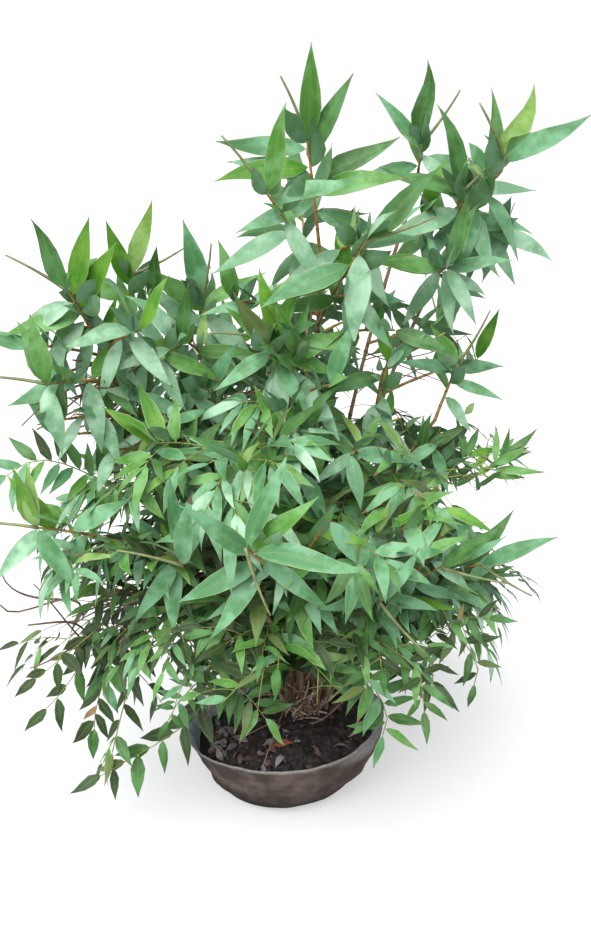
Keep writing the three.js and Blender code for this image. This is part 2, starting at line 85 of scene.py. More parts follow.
def plane_waves(points, size, seed, count=18):
    """Roughness from -1 to 1: the mean of sines that run in chance directions, each about size long."""
    rng = np.random.default_rng(seed)
    ways = unit(rng.normal(size=(count, 3))) * 2 * np.pi / (size * rng.uniform(0.6, 1.6, (count, 1)))
    return np.sin(points @ ways.T + rng.uniform(0, 2 * np.pi, count)).mean(-1) * np.sqrt(count) / 2


print("first draws", [round(number, 4) for number, _ in zip(seeded(7), range(3))])

# %% [markdown]
# A cane, a twig or the middle of a leaf is a line of points. A Bezier curve gives one from a few handles,
# by mixing neighbours until a single point is left.


# %% Lines
UP = np.array([0.0, 0.0, 1.0])
FRONT = np.array([0.0, -1.0, 0.0])
LINE_STEPS = 8
GLANCE = 0.03  # how far to either side of a point its line is looked at


def bezier(*handles, steps=LINE_STEPS):
    """Points of the curve with these handles: neighbours are mixed by t, again and again, down to one."""
    t = np.linspace(0, 1, steps + 1)[:, None]
    row = [np.asarray(h, float) for h in handles]
    while len(row) > 1:
        row = [a + (b - a) * t for a, b in zip(row, row[1:])]
    return row[0]


def through(points, steps=LINE_STEPS):
    """Points of the cubic that passes through four given ones, fitted to the distance walked between them."""
    points = np.asarray(points, float)
    walked = np.r_[0, np.cumsum(np.linalg.norm(np.diff(points, axis=0), axis=1))]
    fit = np.polyfit(walked / walked[-1], points, 3)
    return np.stack([np.polyval(axis, np.linspace(0, 1, steps + 1)) for axis in fit.T], -1)


def spot(line, t):
    """The point at share t of a line, straight from point to point."""
    place = min(max(t, 0.0), 1.0) * (len(line) - 1)
    i = min(int(place), len(line) - 2)
    return line[i] + (line[i + 1] - line[i]) * (place - i)


def heading(line, t):
    """The way a line runs at share t, from the points just before and after."""
    return unit(spot(line, t + GLANCE) - spot(line, t - GLANCE))


print("a curve's middle", spot(bezier((0, 0, 0), (0, 0, 1), (1, 0, 1)), 0.5))

# %% [markdown]
# Every surface below is a stack of rings. Rings are joined by quads, and each end is closed by a fan of
# quads, so that nothing is left open. Whole arrays hold many bodies at once: body, ring, place on the ring,
# and x, y, z.


# %% Surfaces from rings
def closed(rings, uv, number=None, sharp=None):
    """Joins rings[body, level, place] into closed bodies. The second half of a ring starts its quads one
    corner on, so that both sides of a thin leaf split along the same diagonal and neither pokes through."""
    bodies, levels, sides, _ = rings.shape
    row, place = np.arange(levels - 1)[:, None] * sides, np.arange(sides)
    after = (place + 1) % sides
    wall = np.stack([row + place, row + after, row + after + sides, row + place + sides], -1)
    wall[:, sides // 2 :] = np.roll(wall[:, sides // 2 :], -1, -1)
    wall = wall.reshape(-1, 4)
    step = np.arange(1, sides - 1, 2)
    fan = np.stack([0 * step, step, step + 1, step + 2], -1)
    one = np.concatenate([wall, fan[:, ::-1], fan + (levels - 1) * sides])
    faces = (one[None] + (np.arange(bodies) * levels * sides)[:, None, None]).reshape(-1, 4)
    number = np.broadcast_to(0 if number is None else number, (bodies, levels - 1, sides))
    ends = [np.repeat(number[:, i, :1], len(fan), 1) for i in (0, -1)]
    numbers = np.concatenate([number.reshape(bodies, -1), *ends], 1).ravel()
    uv = np.broadcast_to(uv, (bodies, levels, sides, 2)).reshape(-1, 2)
    sharp = np.broadcast_to(False if sharp is None else sharp, (bodies, levels, sides)).ravel()
    return rings.reshape(-1, 3), faces, uv, numbers, sharp


def tubes(lines, radii, sides, lengthwise=None):
    """Round rods: at each point of lines[body, point] a ring of that radius, square to the line."""
    lines, radii = np.asarray(lines, float), np.asarray(radii, float)
    run = np.abs(lines[:, -1] - lines[:, 0])
    across = np.where((run[:, 2] > run[:, 0])[:, None], [1.0, 0, 0], UP)[:, None]
    along = unit(np.gradient(lines, axis=1))
    u = unit(np.cross(across, along))
    v = np.cross(along, u)
    angle = np.arange(sides) / sides * 2 * np.pi
    circle = u[:, :, None] * np.cos(angle)[:, None] + v[:, :, None] * np.sin(angle)[:, None]
    rings = lines[:, :, None] + radii[:, :, None, None] * circle
    far = np.linspace(0, 1, lines.shape[1]) if lengthwise is None else lengthwise
    uv = np.stack(np.broadcast_arrays(angle[None] / (2 * np.pi), far[:, None]), -1)
    return closed(rings, uv)


def new_piece(name, bodies, materials, nodes=()):
    """Joins bodies into one mesh, rides it on the plant, and hides the solids that it stands for."""
    starts = np.cumsum([0] + [len(body[0]) for body in bodies])
    faces = np.concatenate([body[1] + start for body, start in zip(bodies, starts)]).astype(np.int32)
    points, uv, numbers, sharp = (np.concatenate([body[i] for body in bodies]) for i in (0, 2, 3, 4))
    mesh = bpy.data.meshes.new(name)
    mesh.vertices.add(len(points))
    mesh.vertices.foreach_set("co", points.astype(np.float32).ravel())
    mesh.loops.add(faces.size)
    mesh.loops.foreach_set("vertex_index", faces.ravel())
    mesh.polygons.add(len(faces))
    mesh.polygons.foreach_set("loop_start", np.arange(0, faces.size, 4, dtype=np.int32))
    mesh.polygons.foreach_set("material_index", numbers.astype(np.int32))
    mesh.update(calc_edges=True)
    mesh.uv_layers.new(name="surface").data.foreach_set("uv", uv[faces.ravel()].astype(np.float32).ravel())
    mesh.shade_smooth()
    ends = np.empty(len(mesh.edges) * 2, np.int32)
    mesh.edges.foreach_get("vertices", ends)
    crease = mesh.attributes.new("sharp_edge", "BOOLEAN", "EDGE")
    crease.data.foreach_set("value", sharp[ends].reshape(-1, 2).all(1))
    for material in materials:
        mesh.materials.append(material)
    piece = bpy.data.objects.new(name, mesh)
    bpy.context.scene.collection.objects.link(piece)
    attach(piece, "root")
    if nodes:
        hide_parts(*nodes)
    print(name, "triangles", 2 * len(faces))


print("one box has", len(closed(np.zeros((1, 2, 4, 3)), np.zeros(2))[1]), "faces")

# %% [markdown]
# Blender builds a finish from nodes. One small helper adds a node, and sets or links its inputs, and a few
# more wrap the nodes that come again and again. Colours are written as a painter reads them off a screen,
# from 0 to 255, and turned into the linear values that light needs.


# %% Helpers for finishes
def colour(red, green, blue):
    """Screen colour to linear light: each channel over 255, raised as the sRGB curve says."""
    c = np.array([red, green, blue]) / 255
    linear = np.where(c <= 0.04045, c / 12.92, ((c + 0.055) / 1.055) ** 2.4)
    return (*linear.tolist(), 1.0)


def add(tree, kind, values=None, **settings):
    """Adds a node with these settings. Each value is set on its input, or linked where it is a socket."""
    made = tree.nodes.new(kind)
    for key, value in settings.items():
        setattr(made, key, value)
    for key, value in (values or {}).items():
        if isinstance(value, bpy.types.NodeSocket):
            tree.links.new(value, made.inputs[key])
        else:
            made.inputs[key].default_value = value
    return made


def ramp(tree, value, start, stop, low=0.0, high=1.0):
    """Low where value is start and high where it is stop, straight between them and level beyond."""
    ends = {"Value": value, "From Min": start, "From Max": stop, "To Min": low, "To Max": high}
    return add(tree, "ShaderNodeMapRange", ends).outputs["Result"]


def maths(tree, operation, *values, clamp=False):
    """The result of one operation on these values."""
    made = add(tree, "ShaderNodeMath", dict(enumerate(values)), operation=operation, use_clamp=clamp)
    return made.outputs["Value"]


def noise(tree, vector, scale, detail, roughness=0.5):
    """Cloudy noise from 0 to 1, so many clouds to the unit."""
    look = {"Vector": vector, "Scale": scale, "Detail": detail, "Roughness": roughness}
    return add(tree, "ShaderNodeTexNoise", look).outputs["Fac"]


def stretched(tree, vector, across, along):
    """A place on the UV map, times so many across and so many along."""
    return add(tree, "ShaderNodeMapping", {"Vector": vector, "Scale": (across, along, 1)}).outputs["Vector"]


def surface_map(tree):
    """The piece's own UV map, whole, and its two parts: round or across the piece, and along it."""
    uv = add(tree, "ShaderNodeUVMap", uv_map="surface").outputs["UV"]
    parts = add(tree, "ShaderNodeSeparateXYZ", {"Vector": uv}).outputs
    return uv, parts["X"], parts["Y"]


MIX_A, MIX_B, MIX_COLOUR = 6, 7, 2


def blend_colours(tree, share, a, b):
    """Colour a where share is 0 and colour b where it is 1."""
    mixed = add(tree, "ShaderNodeMix", {0: share, MIX_A: a, MIX_B: b}, data_type="RGBA")
    return mixed.outputs[MIX_COLOUR]


print("mid grey in linear light", round(colour(128, 128, 128)[0], 3))

# %% [markdown]
# What several finishes share is built once, as a group of nodes with named sockets. Every group here puts
# out a colour and a height for the bump, so one function opens a group, one places it, and two make a
# material of it.


# %% Groups and materials
def new_group(name, **inputs):
    """A shader group with these inputs, that puts out Color and Height. A name has _ for a space."""
    group = bpy.data.node_groups.new(name, "ShaderNodeTree")
    for label, kind in inputs.items():
        group.interface.new_socket(label.replace("_", " "), in_out="INPUT", socket_type="NodeSocket" + kind)
    for label, kind in (("Color", "Color"), ("Height", "Float")):
        group.interface.new_socket(label, in_out="OUTPUT", socket_type="NodeSocket" + kind)
    return group, group.nodes.new("NodeGroupInput").outputs


def place_group(tree, group, **values):
    """Places a group in a tree and gives its outputs. A value's name is its input's, with _ for a space."""
    values = {key.replace("_", " "): value for key, value in values.items()}
    return add(tree, "ShaderNodeGroup", values, node_tree=group).outputs


def new_material(name, roughness, gloss=0.5):
    """A material whose shader has that roughness and gloss, its tree of nodes, and the shader."""
    material = bpy.data.materials.new(name)
    material.use_nodes = True
    shader = material.node_tree.nodes["Principled BSDF"]
    shader.inputs["Roughness"].default_value = roughness
    shader.inputs["Specular IOR Level"].default_value = gloss
    return material, material.node_tree, shader


def dress(tree, shader, coat, depth, strength):
    """Links a coat to the shader: its Color, and its Height as a bump that many metres deep."""
    tree.links.new(coat["Color"], shader.inputs["Base Color"])
    bump = add(tree, "ShaderNodeBump", {"Height": coat["Height"], "Distance": depth, "Strength": strength})
    tree.links.new(bump.outputs["Normal"], shader.inputs["Normal"])


print("materials so far", len(bpy.data.materials))

# %% [markdown]
# Dust on cloth, damp in soil and the waxy bloom on a leaf, with the sky's reflection painted into it, all
# come in soft patches over a fine grain. One group makes both, so that each finish only says which two
# colours, how large, and how fine. Most finishes are no more than that, and patchy() makes them from a few
# words.


# %% Patches
PATCH_FROM, PATCH_TO, PATCH_BUMP = 0.43, 0.6, 0.8
patches, given = new_group(
    "soft_patches", Base="Color", Patch="Color", Scale="Float", Amount="Float", Grain="Float"
)
place = add(patches, "ShaderNodeTexCoord").outputs["Object"]
cloud = noise(patches, place, given["Scale"], 4.0, 0.6)
patch_share = ramp(patches, cloud, PATCH_FROM, PATCH_TO, 0.0, given["Amount"])
patch_colour = blend_colours(patches, patch_share, given["Base"], given["Patch"])
add(patches, "NodeGroupOutput", {"Color": patch_colour, "Height": noise(patches, place, given["Grain"], 5.0)})


def patchy(name, base, patch, scale, amount, roughness, grain, depth, gloss=0.5):
    """A finish with soft patches of a second colour, and a bump from noise of that grain and depth."""
    material, tree, shader = new_material(name, roughness, gloss)
    coat = place_group(tree, patches, Base=base, Patch=patch, Scale=scale, Amount=amount, Grain=grain)
    dress(tree, shader, coat, depth, PATCH_BUMP)
    return material


print("group", patches.name)

# %% [markdown]
# The bag is thin cloth, once black and now grey with dust. It has slumped: the foot is rounded, the wall
# swells outwards, and the rim dips and rises. Its radius follows a power of the height, which turns the
# foot as a full bag does, and ripples and creases are added to that. On the right the wall is fuller, and
# at the front right the rim is turned in.

# %% Grow bag: its shape
BAG_RIM, BAG_BASE, BAG_HEIGHT, BAG_WALL = 150 * MM, 75 * MM, 100 * MM, 3 * MM
BAG_SWELL, BAG_TILT, BAG_HIGH_SIDE = 0.45, 9 * MM, -0.5
BAG_RIPPLE, BAG_RIPPLES = 2.2 * MM, 7
BAG_FRONT_RISE = 5 * MM
BAG_LEFT_FLARE, FLARE_TURN, FLARE_POWER = 8 * MM, 0.35, 3
BAG_RIGHT_FULL, FULL_TURN, FULL_POWER = 7 * MM, 0.1, 2
BAG_TURNED_IN, TURNED_FROM, TURNED_AT, TURNED_POWER = 9 * MM, 0.84, -0.52, 12
BAG_FOOT_SHIFT = np.array([-12, 0, 0]) * MM
# How far the height is stretched, then the width, the seed, and the depth in millimetres.
BROAD_CREASE, FINE_CREASE = (2.2, 34 * MM, 3, 1.8), (0.5, 16 * MM, 4, 1.5)
SAG_FOLDS, SAG_WANDER, SAG_DEPTH, FOLDS_FROM = 19, 2.5, 1.6, 4
BAG_SIDES, BAG_LIP, LIP_UV = 192, 1.012, 1.01
OUTSIDE_RINGS, CLOSER_AT_FOOT, INSIDE_RINGS, LINING_TO = 34, 1.6, 18, 0.3


def facing(cosine, power=1):
    """From the cosine of the turn away from a side: one on that side, nought from a right angle on."""
    return np.clip(cosine, 0, 1) ** power


def relief(points, stretch, width, seed, depth):
    """Chance waves on points whose height is stretched first: flat ones at 0, and level folds above 1."""
    return plane_waves(points * [1, 1, stretch], width, seed) * depth


def bag_wall(angle, share, inset=0.0):
    """Radius grows with a power of the height, plus ripples and creases. The foot sits a little left."""
    ripple = BAG_RIPPLE * share * np.sin(BAG_RIPPLES * angle)
    radius = BAG_BASE + (BAG_RIM - BAG_BASE) * share**BAG_SWELL + ripple - inset
    radius = radius + BAG_LEFT_FLARE * share**3 * facing(-np.cos(angle - FLARE_TURN), FLARE_POWER)
    full = np.sin(np.pi * np.minimum(share, 1))
    radius = radius + BAG_RIGHT_FULL * full * facing(np.cos(angle - FULL_TURN), FULL_POWER)
    turned = np.clip((share - TURNED_FROM) / (1 - TURNED_FROM), 0, 1.1) ** 1.5
    radius = radius - BAG_TURNED_IN * turned * facing(np.cos(angle - TURNED_AT), TURNED_POWER)
    rim = BAG_HEIGHT + BAG_TILT * np.cos(angle - BAG_HIGH_SIDE) + 0.5 * ripple
    rim = rim + BAG_FRONT_RISE * facing(-np.sin(angle))
    flat = np.stack(np.broadcast_arrays(np.cos(angle), np.sin(angle), 0 * angle), -1)
    points = flat * radius[..., None] + UP * (share * rim)[..., None]
    points = points + BAG_FOOT_SHIFT * (np.clip(1 - share, 0, 1) ** 1.5)[..., None]
    crease = relief(points, *BROAD_CREASE) * MM - np.abs(relief(points, *FINE_CREASE)) * MM
    sag = np.sin(share * SAG_FOLDS + SAG_WANDER * np.sin(2 * angle + 1)) * (1 - share) * SAG_DEPTH * MM
    return points + flat * ((crease + sag) * np.clip(share * FOLDS_FROM, 0, 1))[..., None]


def bag_ring(share, inset=0.0):
    """One level ring of the wall, that share of the way up."""
    return bag_wall(angle, share + 0 * angle, inset)


angle = np.arange(BAG_SIDES) / BAG_SIDES * 2 * np.pi
up_outside = np.linspace(0, 1, OUTSIDE_RINGS) ** CLOSER_AT_FOOT
down_inside = np.linspace(1, LINING_TO, INSIDE_RINGS)
outside = [bag_ring(share) for share in up_outside]
inside = [bag_ring(share, BAG_WALL) for share in down_inside]
TO_THE_MIDDLE = [0.05, 0.05, 1]  # draws a ring in, so that the fan that closes it is small
bag_rings = np.stack([*outside, bag_ring(BAG_LIP, BAG_WALL / 2), *inside, inside[-1] * TO_THE_MIDDLE])
bag_rings[0, :, 2] = 0
bag_up = np.r_[up_outside, LIP_UV, down_inside, LINING_TO]
bag_uv = np.stack(np.broadcast_arrays(angle[None] / (2 * np.pi), bag_up[:, None]), -1)
print("bag rings", bag_rings.shape, "top", bag_rings[..., 2].max())

# %% [markdown]
# The cloth shows a fine crossed weave close up. From a step away it shows dust in pale patches, and painted
# shade that darkens it towards the foot, so that the upper wall stays pale. A painted highlight runs as a
# light line where the rim folds over, which widens to a band at the front right, where the rim is turned in.

# %% Grow bag: its finish
DUST, PALE_DUST = colour(76, 65, 60), colour(112, 98, 90)
# The dark colour is painted shade at the foot of the bag, and the light one is a painted highlight on the
# rim.
FOOT_SHADE, RIM_HIGHLIGHT = colour(26, 23, 23), colour(156, 154, 152)
THREADS, CLOTH_DEPTH = (520, 190), 0.0004  # threads round the bag and up its wall, and metres of relief
# The cloth of the inner wall is painted pale blue-white: the sky light that falls on it, painted into its
# colour.
SKYLIT_LINING_PALE, SKYLIT_LINING_GREY = colour(196, 212, 222), colour(130, 138, 146)
# Where each ramp starts and stops, and what it is there. Heights are shares of the wall.
FOOT_SHADE_UP, FOLD_UP = (0.04, 0.52, 0.95, 0.0), (0.95, 1.0, 0.0, 1.5)
BAND_ROUND, BAND_UP = (0.87, 0.98, 0.0, 1.25), (0.82, 0.9)
cloth, tree, shader = new_material("dusty_cloth_painted_light", 0.88, 0.25)
dust = place_group(tree, patches, Base=DUST, Patch=PALE_DUST, Scale=22, Amount=0.9, Grain=300)
uv, round_it, height = surface_map(tree)
# Painted shade: the dust is darkened towards the foot.
foot_shade = ramp(tree, height, *FOOT_SHADE_UP)
# Painted highlight: a light line along the rim's fold, which widens to a band where the rim is turned in at
# the front right.
fold = ramp(tree, height, *FOLD_UP)
bearing = maths(tree, "MULTIPLY_ADD", round_it, 2 * np.pi, -TURNED_AT)
there = ramp(tree, maths(tree, "COSINE", bearing), *BAND_ROUND)
band = maths(tree, "MULTIPLY", there, ramp(tree, height, *BAND_UP))
# worn is the mask of the painted highlight, broken up by the dust's grain.
worn = maths(tree, "MULTIPLY", maths(tree, "MAXIMUM", fold, band), dust["Height"], clamp=True)
shaded_dust = blend_colours(tree, foot_shade, dust["Color"], FOOT_SHADE)
weave = add(tree, "ShaderNodeTexChecker", {"Vector": stretched(tree, uv, *THREADS), "Scale": 1.0})
woven = maths(tree, "ADD", weave.outputs["Fac"], dust["Height"])
dress(tree, shader, {"Color": blend_colours(tree, worn, shaded_dust, RIM_HIGHLIGHT), "Height": woven}, CLOTH_DEPTH, 0.6)
# The inner wall: cloth with painted sky light.
SKYLIT_LINING = patchy("lining_with_painted_skylight", SKYLIT_LINING_PALE, SKYLIT_LINING_GREY, 34, 0.8, 0.6, 400, CLOTH_DEPTH, 0.4)
lining_from = len(outside) + 1
ring_look = (np.arange(len(bag_rings) - 1) >= lining_from).astype(int)
cloth_body = closed(bag_rings[None], bag_uv, ring_look[None, :, None])
new_piece("soft_grow_bag", [cloth_body], [cloth, SKYLIT_LINING], ["grow_bag"])

# %% [markdown]
# The soil is dark and crumbly. It stands highest round the clump and sinks towards the wall. A grid of
# rings gives the ground, and chance waves of two sizes give its lumps.

# %% Soil: the ground
CLUMP = np.array([26, 30, 99.3]) * MM
SOIL_TOP, SOIL_EDGE_SHARE, SOIL_STEP_FROM, SOIL_GAP = 99 * MM, 0.79, 0.35, 0.4 * MM
SOIL_LEFT_DIP, LEFT_TURN, LEFT_POWER = 0.15, 0.25, 3
SOIL_RIGHT_DIP, RIGHT_TURN, RIGHT_POWER = 0.12, 0.75, 6
GROUND_RINGS, LAST_RING, UNDER_RINGS = 44, 0.01, (0.34, 0.46, 0.58)
LUMPS = ((0, 22 * MM, 11, 2.4), (0, 7 * MM, 12, 1.5))  # as the creases of the bag are given


def soil_surface(angle, out):
    """A point out of the way from the clump to the wall, lowered in a smooth step, with lumps added."""
    share = SOIL_EDGE_SHARE - SOIL_LEFT_DIP * facing(-np.cos(angle + LEFT_TURN), LEFT_POWER)
    share -= SOIL_RIGHT_DIP * facing(np.cos(angle + RIGHT_TURN), RIGHT_POWER)
    edge = bag_wall(angle, share, BAG_WALL + SOIL_GAP)
    points = CLUMP + (edge - CLUMP) * out[..., None]
    fall = np.clip((out - SOIL_STEP_FROM) / (1 - SOIL_STEP_FROM), 0, 1)
    fall = fall * fall * (3 - 2 * fall)
    points[..., 2] = SOIL_TOP + (edge[..., 2] - SOIL_TOP) * fall
    lump = sum(relief(points, *row) for row in LUMPS)
    points[..., 2] += lump * MM * np.clip(out * 3, 0, 1)
    return points


places = np.linspace(1, LAST_RING, GROUND_RINGS)
ground = np.stack([soil_surface(angle, out + 0 * angle) for out in places])
under = [bag_ring(share, BAG_WALL + SOIL_GAP) for share in UNDER_RINGS]
soil_rings = np.concatenate([(under[0] * TO_THE_MIDDLE)[None], under, ground])
SOIL_FINISH = patchy("damp_soil", colour(44, 40, 40), colour(86, 77, 75), 70, 0.7, 0.95, 900, 0.0012, 0.2)
new_piece("dark_soil", [closed(soil_rings[None], np.zeros(2))], [SOIL_FINISH], ["potting_soil"])

# %% [markdown]
# Loose crumbs and grit lie all over the ground. They are made all at once: a small ball of rings, stretched
# by chance, at each chosen place.

# %% Soil: crumbs and grit
CRUMB_TILTS, CRUMB_SIDES = np.radians([-78, -28, 28, 78]), 6
CRUMB_OUT, CRUMB_STRETCH, CRUMB_JITTER = (0.04, 0.94), (0.6, 1.25), (-0.2, 0.2)
rng = np.random.default_rng(21)


def crumbs(count, smallest, largest):
    """Small balls of four rings, each stretched by chance along three axes, half sunk in the ground."""
    where = soil_surface(rng.uniform(0, 2 * np.pi, count), np.sqrt(rng.uniform(*CRUMB_OUT, count)))
    size = rng.uniform(smallest, largest, count)
    turn = np.arange(CRUMB_SIDES) / CRUMB_SIDES * 2 * np.pi
    level, up = np.cos(CRUMB_TILTS)[:, None], np.sin(CRUMB_TILTS)[:, None]
    ball = np.stack(np.broadcast_arrays(level * np.cos(turn), level * np.sin(turn), up), -1)
    stretch = rng.uniform(*CRUMB_STRETCH, (count, 1, 1, 3)) * size[:, None, None, None]
    jitter = 1 + rng.uniform(*CRUMB_JITTER, (count, len(CRUMB_TILTS), CRUMB_SIDES, 1))
    return closed(where[:, None, None] + ball[None] * stretch * jitter, np.zeros(2))


GRIT_FINISH = patchy("pale_grit", colour(128, 116, 108), colour(86, 74, 66), 200, 0.8, 0.9, 1500, 0.0004, 0.3)
for name, count, smallest, largest, look in (
    ("soil_crumbs", 1100, 1.2, 3.8, SOIL_FINISH),
    ("soil_grit", 150, 0.8, 2.4, GRIT_FINISH),
):
    new_piece(name, [crumbs(count, smallest * MM, largest * MM)], [look])

# %% [markdown]
# The canes carry everything. These are the places that the solid model grows them to, in millimetres: each
# cane's end, and how far above it the cane arches over first.

# %% Canes: where they go
CLUMP_RADIUS, CLUMP_HEART, CANE_STEPS = 34 * MM, 0.2, 64
CANE_LOW_RISE, CANE_LOW_ARCH, CANE_HIGH_OUT, CANE_HIGH_DROP = 0.45, 0.5, 0.7, 0.15
CANES = {
    "tall": ((45, 0, 795), 0),
    "right_tall": ((229, 55, 817), 0),
    "back_right_tall": ((181, 130, 878), 0),
    "left_front": ((-239, -60, 690), 0),
    "left_inner": ((-116, 80, 655), 0),
    "middle": ((4, -80, 640), 0),
    "right_inner": ((114, -45, 577), 0),
    "right_outer": ((200, -35, 590), 0),
    "back_tall": ((30, 190, 745), 0),
    "back_left": ((-130, 215, 590), 0),
    "front_low": ((-5, -165, 400), 60),
    "front_left_low": ((-190, -125, 440), 50),
    "front_right_low": ((145, -115, 365), 60),
    "right_low": ((225, -10, 320), 70),
    "left_low": ((-240, 0, 300), 80),
    "back_low": ((30, 265, 360), 80),
    "back_right_low": ((235, 150, 330), 80),
}


def cane_line(end, arch):
    """A cubic from a foot in the clump, straight up and then over to its end, as the solid canes run."""
    end, arch = np.array(end) * MM, arch * MM
    run = (end - CLUMP) * [1, 1, 0]
    rise = end[2] - SOIL_TOP
    foot = CLUMP + unit(run) * CLUMP_RADIUS * min(1, CLUMP_HEART + np.linalg.norm(run) / rise)
    low = foot + UP * (CANE_LOW_RISE * rise + CANE_LOW_ARCH * arch)
    high = foot + (end - foot) * CANE_HIGH_OUT
    high[2] = end[2] + arch - CANE_HIGH_DROP * rise
    return bezier(foot, low, high, end, steps=CANE_STEPS)


cane_lines = {name: cane_line(*row) for name, row in CANES.items()}
print("canes", len(cane_lines), "tall one ends at", cane_lines["tall"][-1])

# %% [markdown]
# A bamboo cane is hollow and jointed. Every few centimetres it has a node: a swollen ring under a dark
# scar, where a papery sheath once sat and often still does. The relief is in the radius, and the colour
# follows the distance from the foot, counted in joints, which the UV map holds.

# %% Canes: the jointed surface
CANE_FOOT, CANE_TIP, CANE_SIDES, JOINT = 3.4 * MM, 2.4 * MM, 12, 46 * MM
JOINT_SHARES = np.array([0.0, 0.035, 0.07, 0.12, 0.3, 0.5, 0.53, 0.75, 0.94])
JOINT_SWELL = np.array([0.5, 0.62, 0.35, 0.12, 0.1, 0.1, -0.08, -0.05, 0.05]) * MM


def jointed(line, foot, tip, sides=CANE_SIDES, joint=JOINT):
    """A tube whose radius tapers, swells at each joint and steps down where the sheath above it ends."""
    walked = np.r_[0, np.cumsum(np.linalg.norm(np.diff(line, axis=0), axis=1))]
    joints = max(2, int(round(walked[-1] / joint)))
    count = np.r_[(np.arange(joints)[:, None] + JOINT_SHARES).ravel(), joints]
    at = count / joints * walked[-1]
    points = np.stack([np.interp(at, walked, line[:, i]) for i in range(3)], -1)
    swell = np.r_[np.tile(JOINT_SWELL, joints), 0.0] * foot / CANE_FOOT
    radius = foot + (tip - foot) * count / joints + swell
    return tubes(points[None], radius[None], sides, lengthwise=count)


print("rings to a joint", len(JOINT_SHARES), "swell in mm", (JOINT_SWELL / MM).round(2))

# %% [markdown]
# The bark is a group too, since the canes and the stems of the shoots share it. The fraction of the joint
# count says where on a joint a point is: a scar first, then papery sheath up to the middle, then bare skin.
# Near the foot the dry colours of the sheath take over. Thin streaks along the cane are its bump.

# %% Canes: the bark
SHEATH_TO, SCAR_TO, SCAR = 0.51, 0.08, colour(74, 50, 34)
BARK_STREAKS, BARK_DEPTH = (60, 3), 0.0003
PATCH_SIZES, PATCH_AMOUNT = {"Skin": 40, "Sheath": 90}, 0.9
SKINS = ("Skin", "Skin_Patch", "Sheath", "Sheath_Patch")
bark, given = new_group("jointed_bark", **dict.fromkeys(SKINS, "Color"), Foot_Joints="Float")
uv, _, joint_at = surface_map(bark)
share = maths(bark, "FRACT", joint_at)
sheath = maths(bark, "LESS_THAN", share, SHEATH_TO)
scar = ramp(bark, share, 0.0, SCAR_TO, 0.9, 0.0)
foot = ramp(bark, joint_at, 0.0, given["Foot Joints"], 1.0, 0.0)
coats = []
for key, size in PATCH_SIZES.items():
    looks = {"Base": given[key], "Patch": given[key + " Patch"]}
    coats.append(place_group(bark, patches, **looks, Scale=size, Amount=PATCH_AMOUNT)["Color"])
dressed = blend_colours(bark, sheath, *coats)
aged = blend_colours(bark, foot, dressed, coats[1])
streaks = noise(bark, stretched(bark, uv, *BARK_STREAKS), 1.0, 3.0)
add(bark, "NodeGroupOutput", {"Color": blend_colours(bark, scar, aged, SCAR), "Height": streaks})


def cane_finish(name, foot_joints, *colours):
    """Skin above, a papery sheath below the middle of each joint, a dark scar at it, and a dry brown foot."""
    material, tree, shader = new_material(name, 0.45)
    coat = place_group(tree, bark, **dict(zip(SKINS, colours)), Foot_Joints=foot_joints)
    dress(tree, shader, coat, BARK_DEPTH, 0.5)
    return material


CANE_COLOURS = colour(142, 122, 84), colour(112, 108, 66), colour(156, 128, 98), colour(112, 84, 66)
CANE_LOOK = cane_finish("yellow_brown_cane", 5, *CANE_COLOURS)
for name, line in cane_lines.items():
    cane = jointed(line, CANE_FOOT, CANE_TIP)
    new_piece("jointed_cane_" + name, [cane], [CANE_LOOK], ["cane_" + name])

# %% [markdown]
# Round the foot of the canes stand the stumps of old ones, dry and brown, crowded and leaning every way.
# They are what makes the foot of a bamboo look like a clump and not a bunch.

# %% Old stumps in the clump
STUMPS, STUMP_HEART = 96, np.array([-9, -12, 0]) * MM
STUMP_OUT, STUMP_TALL, STUMP_RADIUS, STUMP_SUNK = (3, 26), (24, 92), (0.9, 2.2), 4  # in millimetres
STUMP_LEAN, STUMP_ASIDE, STUMP_BEND = (-0.7, 0.7), 0.5, 0.22
MIDDLE_UP, MIDDLE_LEAN, STUMP_TAPER, STUMP_SIDES = 0.5, 0.3, 0.75, 6
WOOD, OLD_WOOD = colour(204, 182, 162), colour(112, 90, 78)
DRY_WOOD = patchy("dry_brown_wood", WOOD, OLD_WOOD, 110, 1.0, 0.8, 700, 0.0005, 0.3)
rng = np.random.default_rng(31)
stumps = []
for _ in range(STUMPS):
    turn, out = rng.uniform(0, 2 * np.pi), rng.uniform(*STUMP_OUT) * MM
    flat = np.array([np.cos(turn), np.sin(turn), 0])
    foot = CLUMP + STUMP_HEART + flat * out - UP * STUMP_SUNK * MM
    tall = rng.uniform(*STUMP_TALL) * MM
    lean = flat * rng.uniform(*STUMP_LEAN) + rng.normal(scale=STUMP_ASIDE, size=3) * [1, 1, 0]
    bend = rng.normal(scale=STUMP_BEND, size=3) * [1, 1, 0]
    middle = foot + (UP * MIDDLE_UP + lean * MIDDLE_LEAN + bend) * tall
    stumps.append(bezier(foot, middle, foot + (UP + lean) * tall))
thick = rng.uniform(*STUMP_RADIUS, (STUMPS, 1)) * MM * np.linspace(1, STUMP_TAPER, LINE_STEPS + 1)
new_piece("old_stumps", [tubes(stumps, thick, STUMP_SIDES)], [DRY_WOOD])

# %% [markdown]
# Leaves and twigs are collected first and made into meshes at the end, all of one colour together. A leaf
# is a row: where it is rooted, the way it points, the way its upper side faces, its length, and the zone it
# is in.

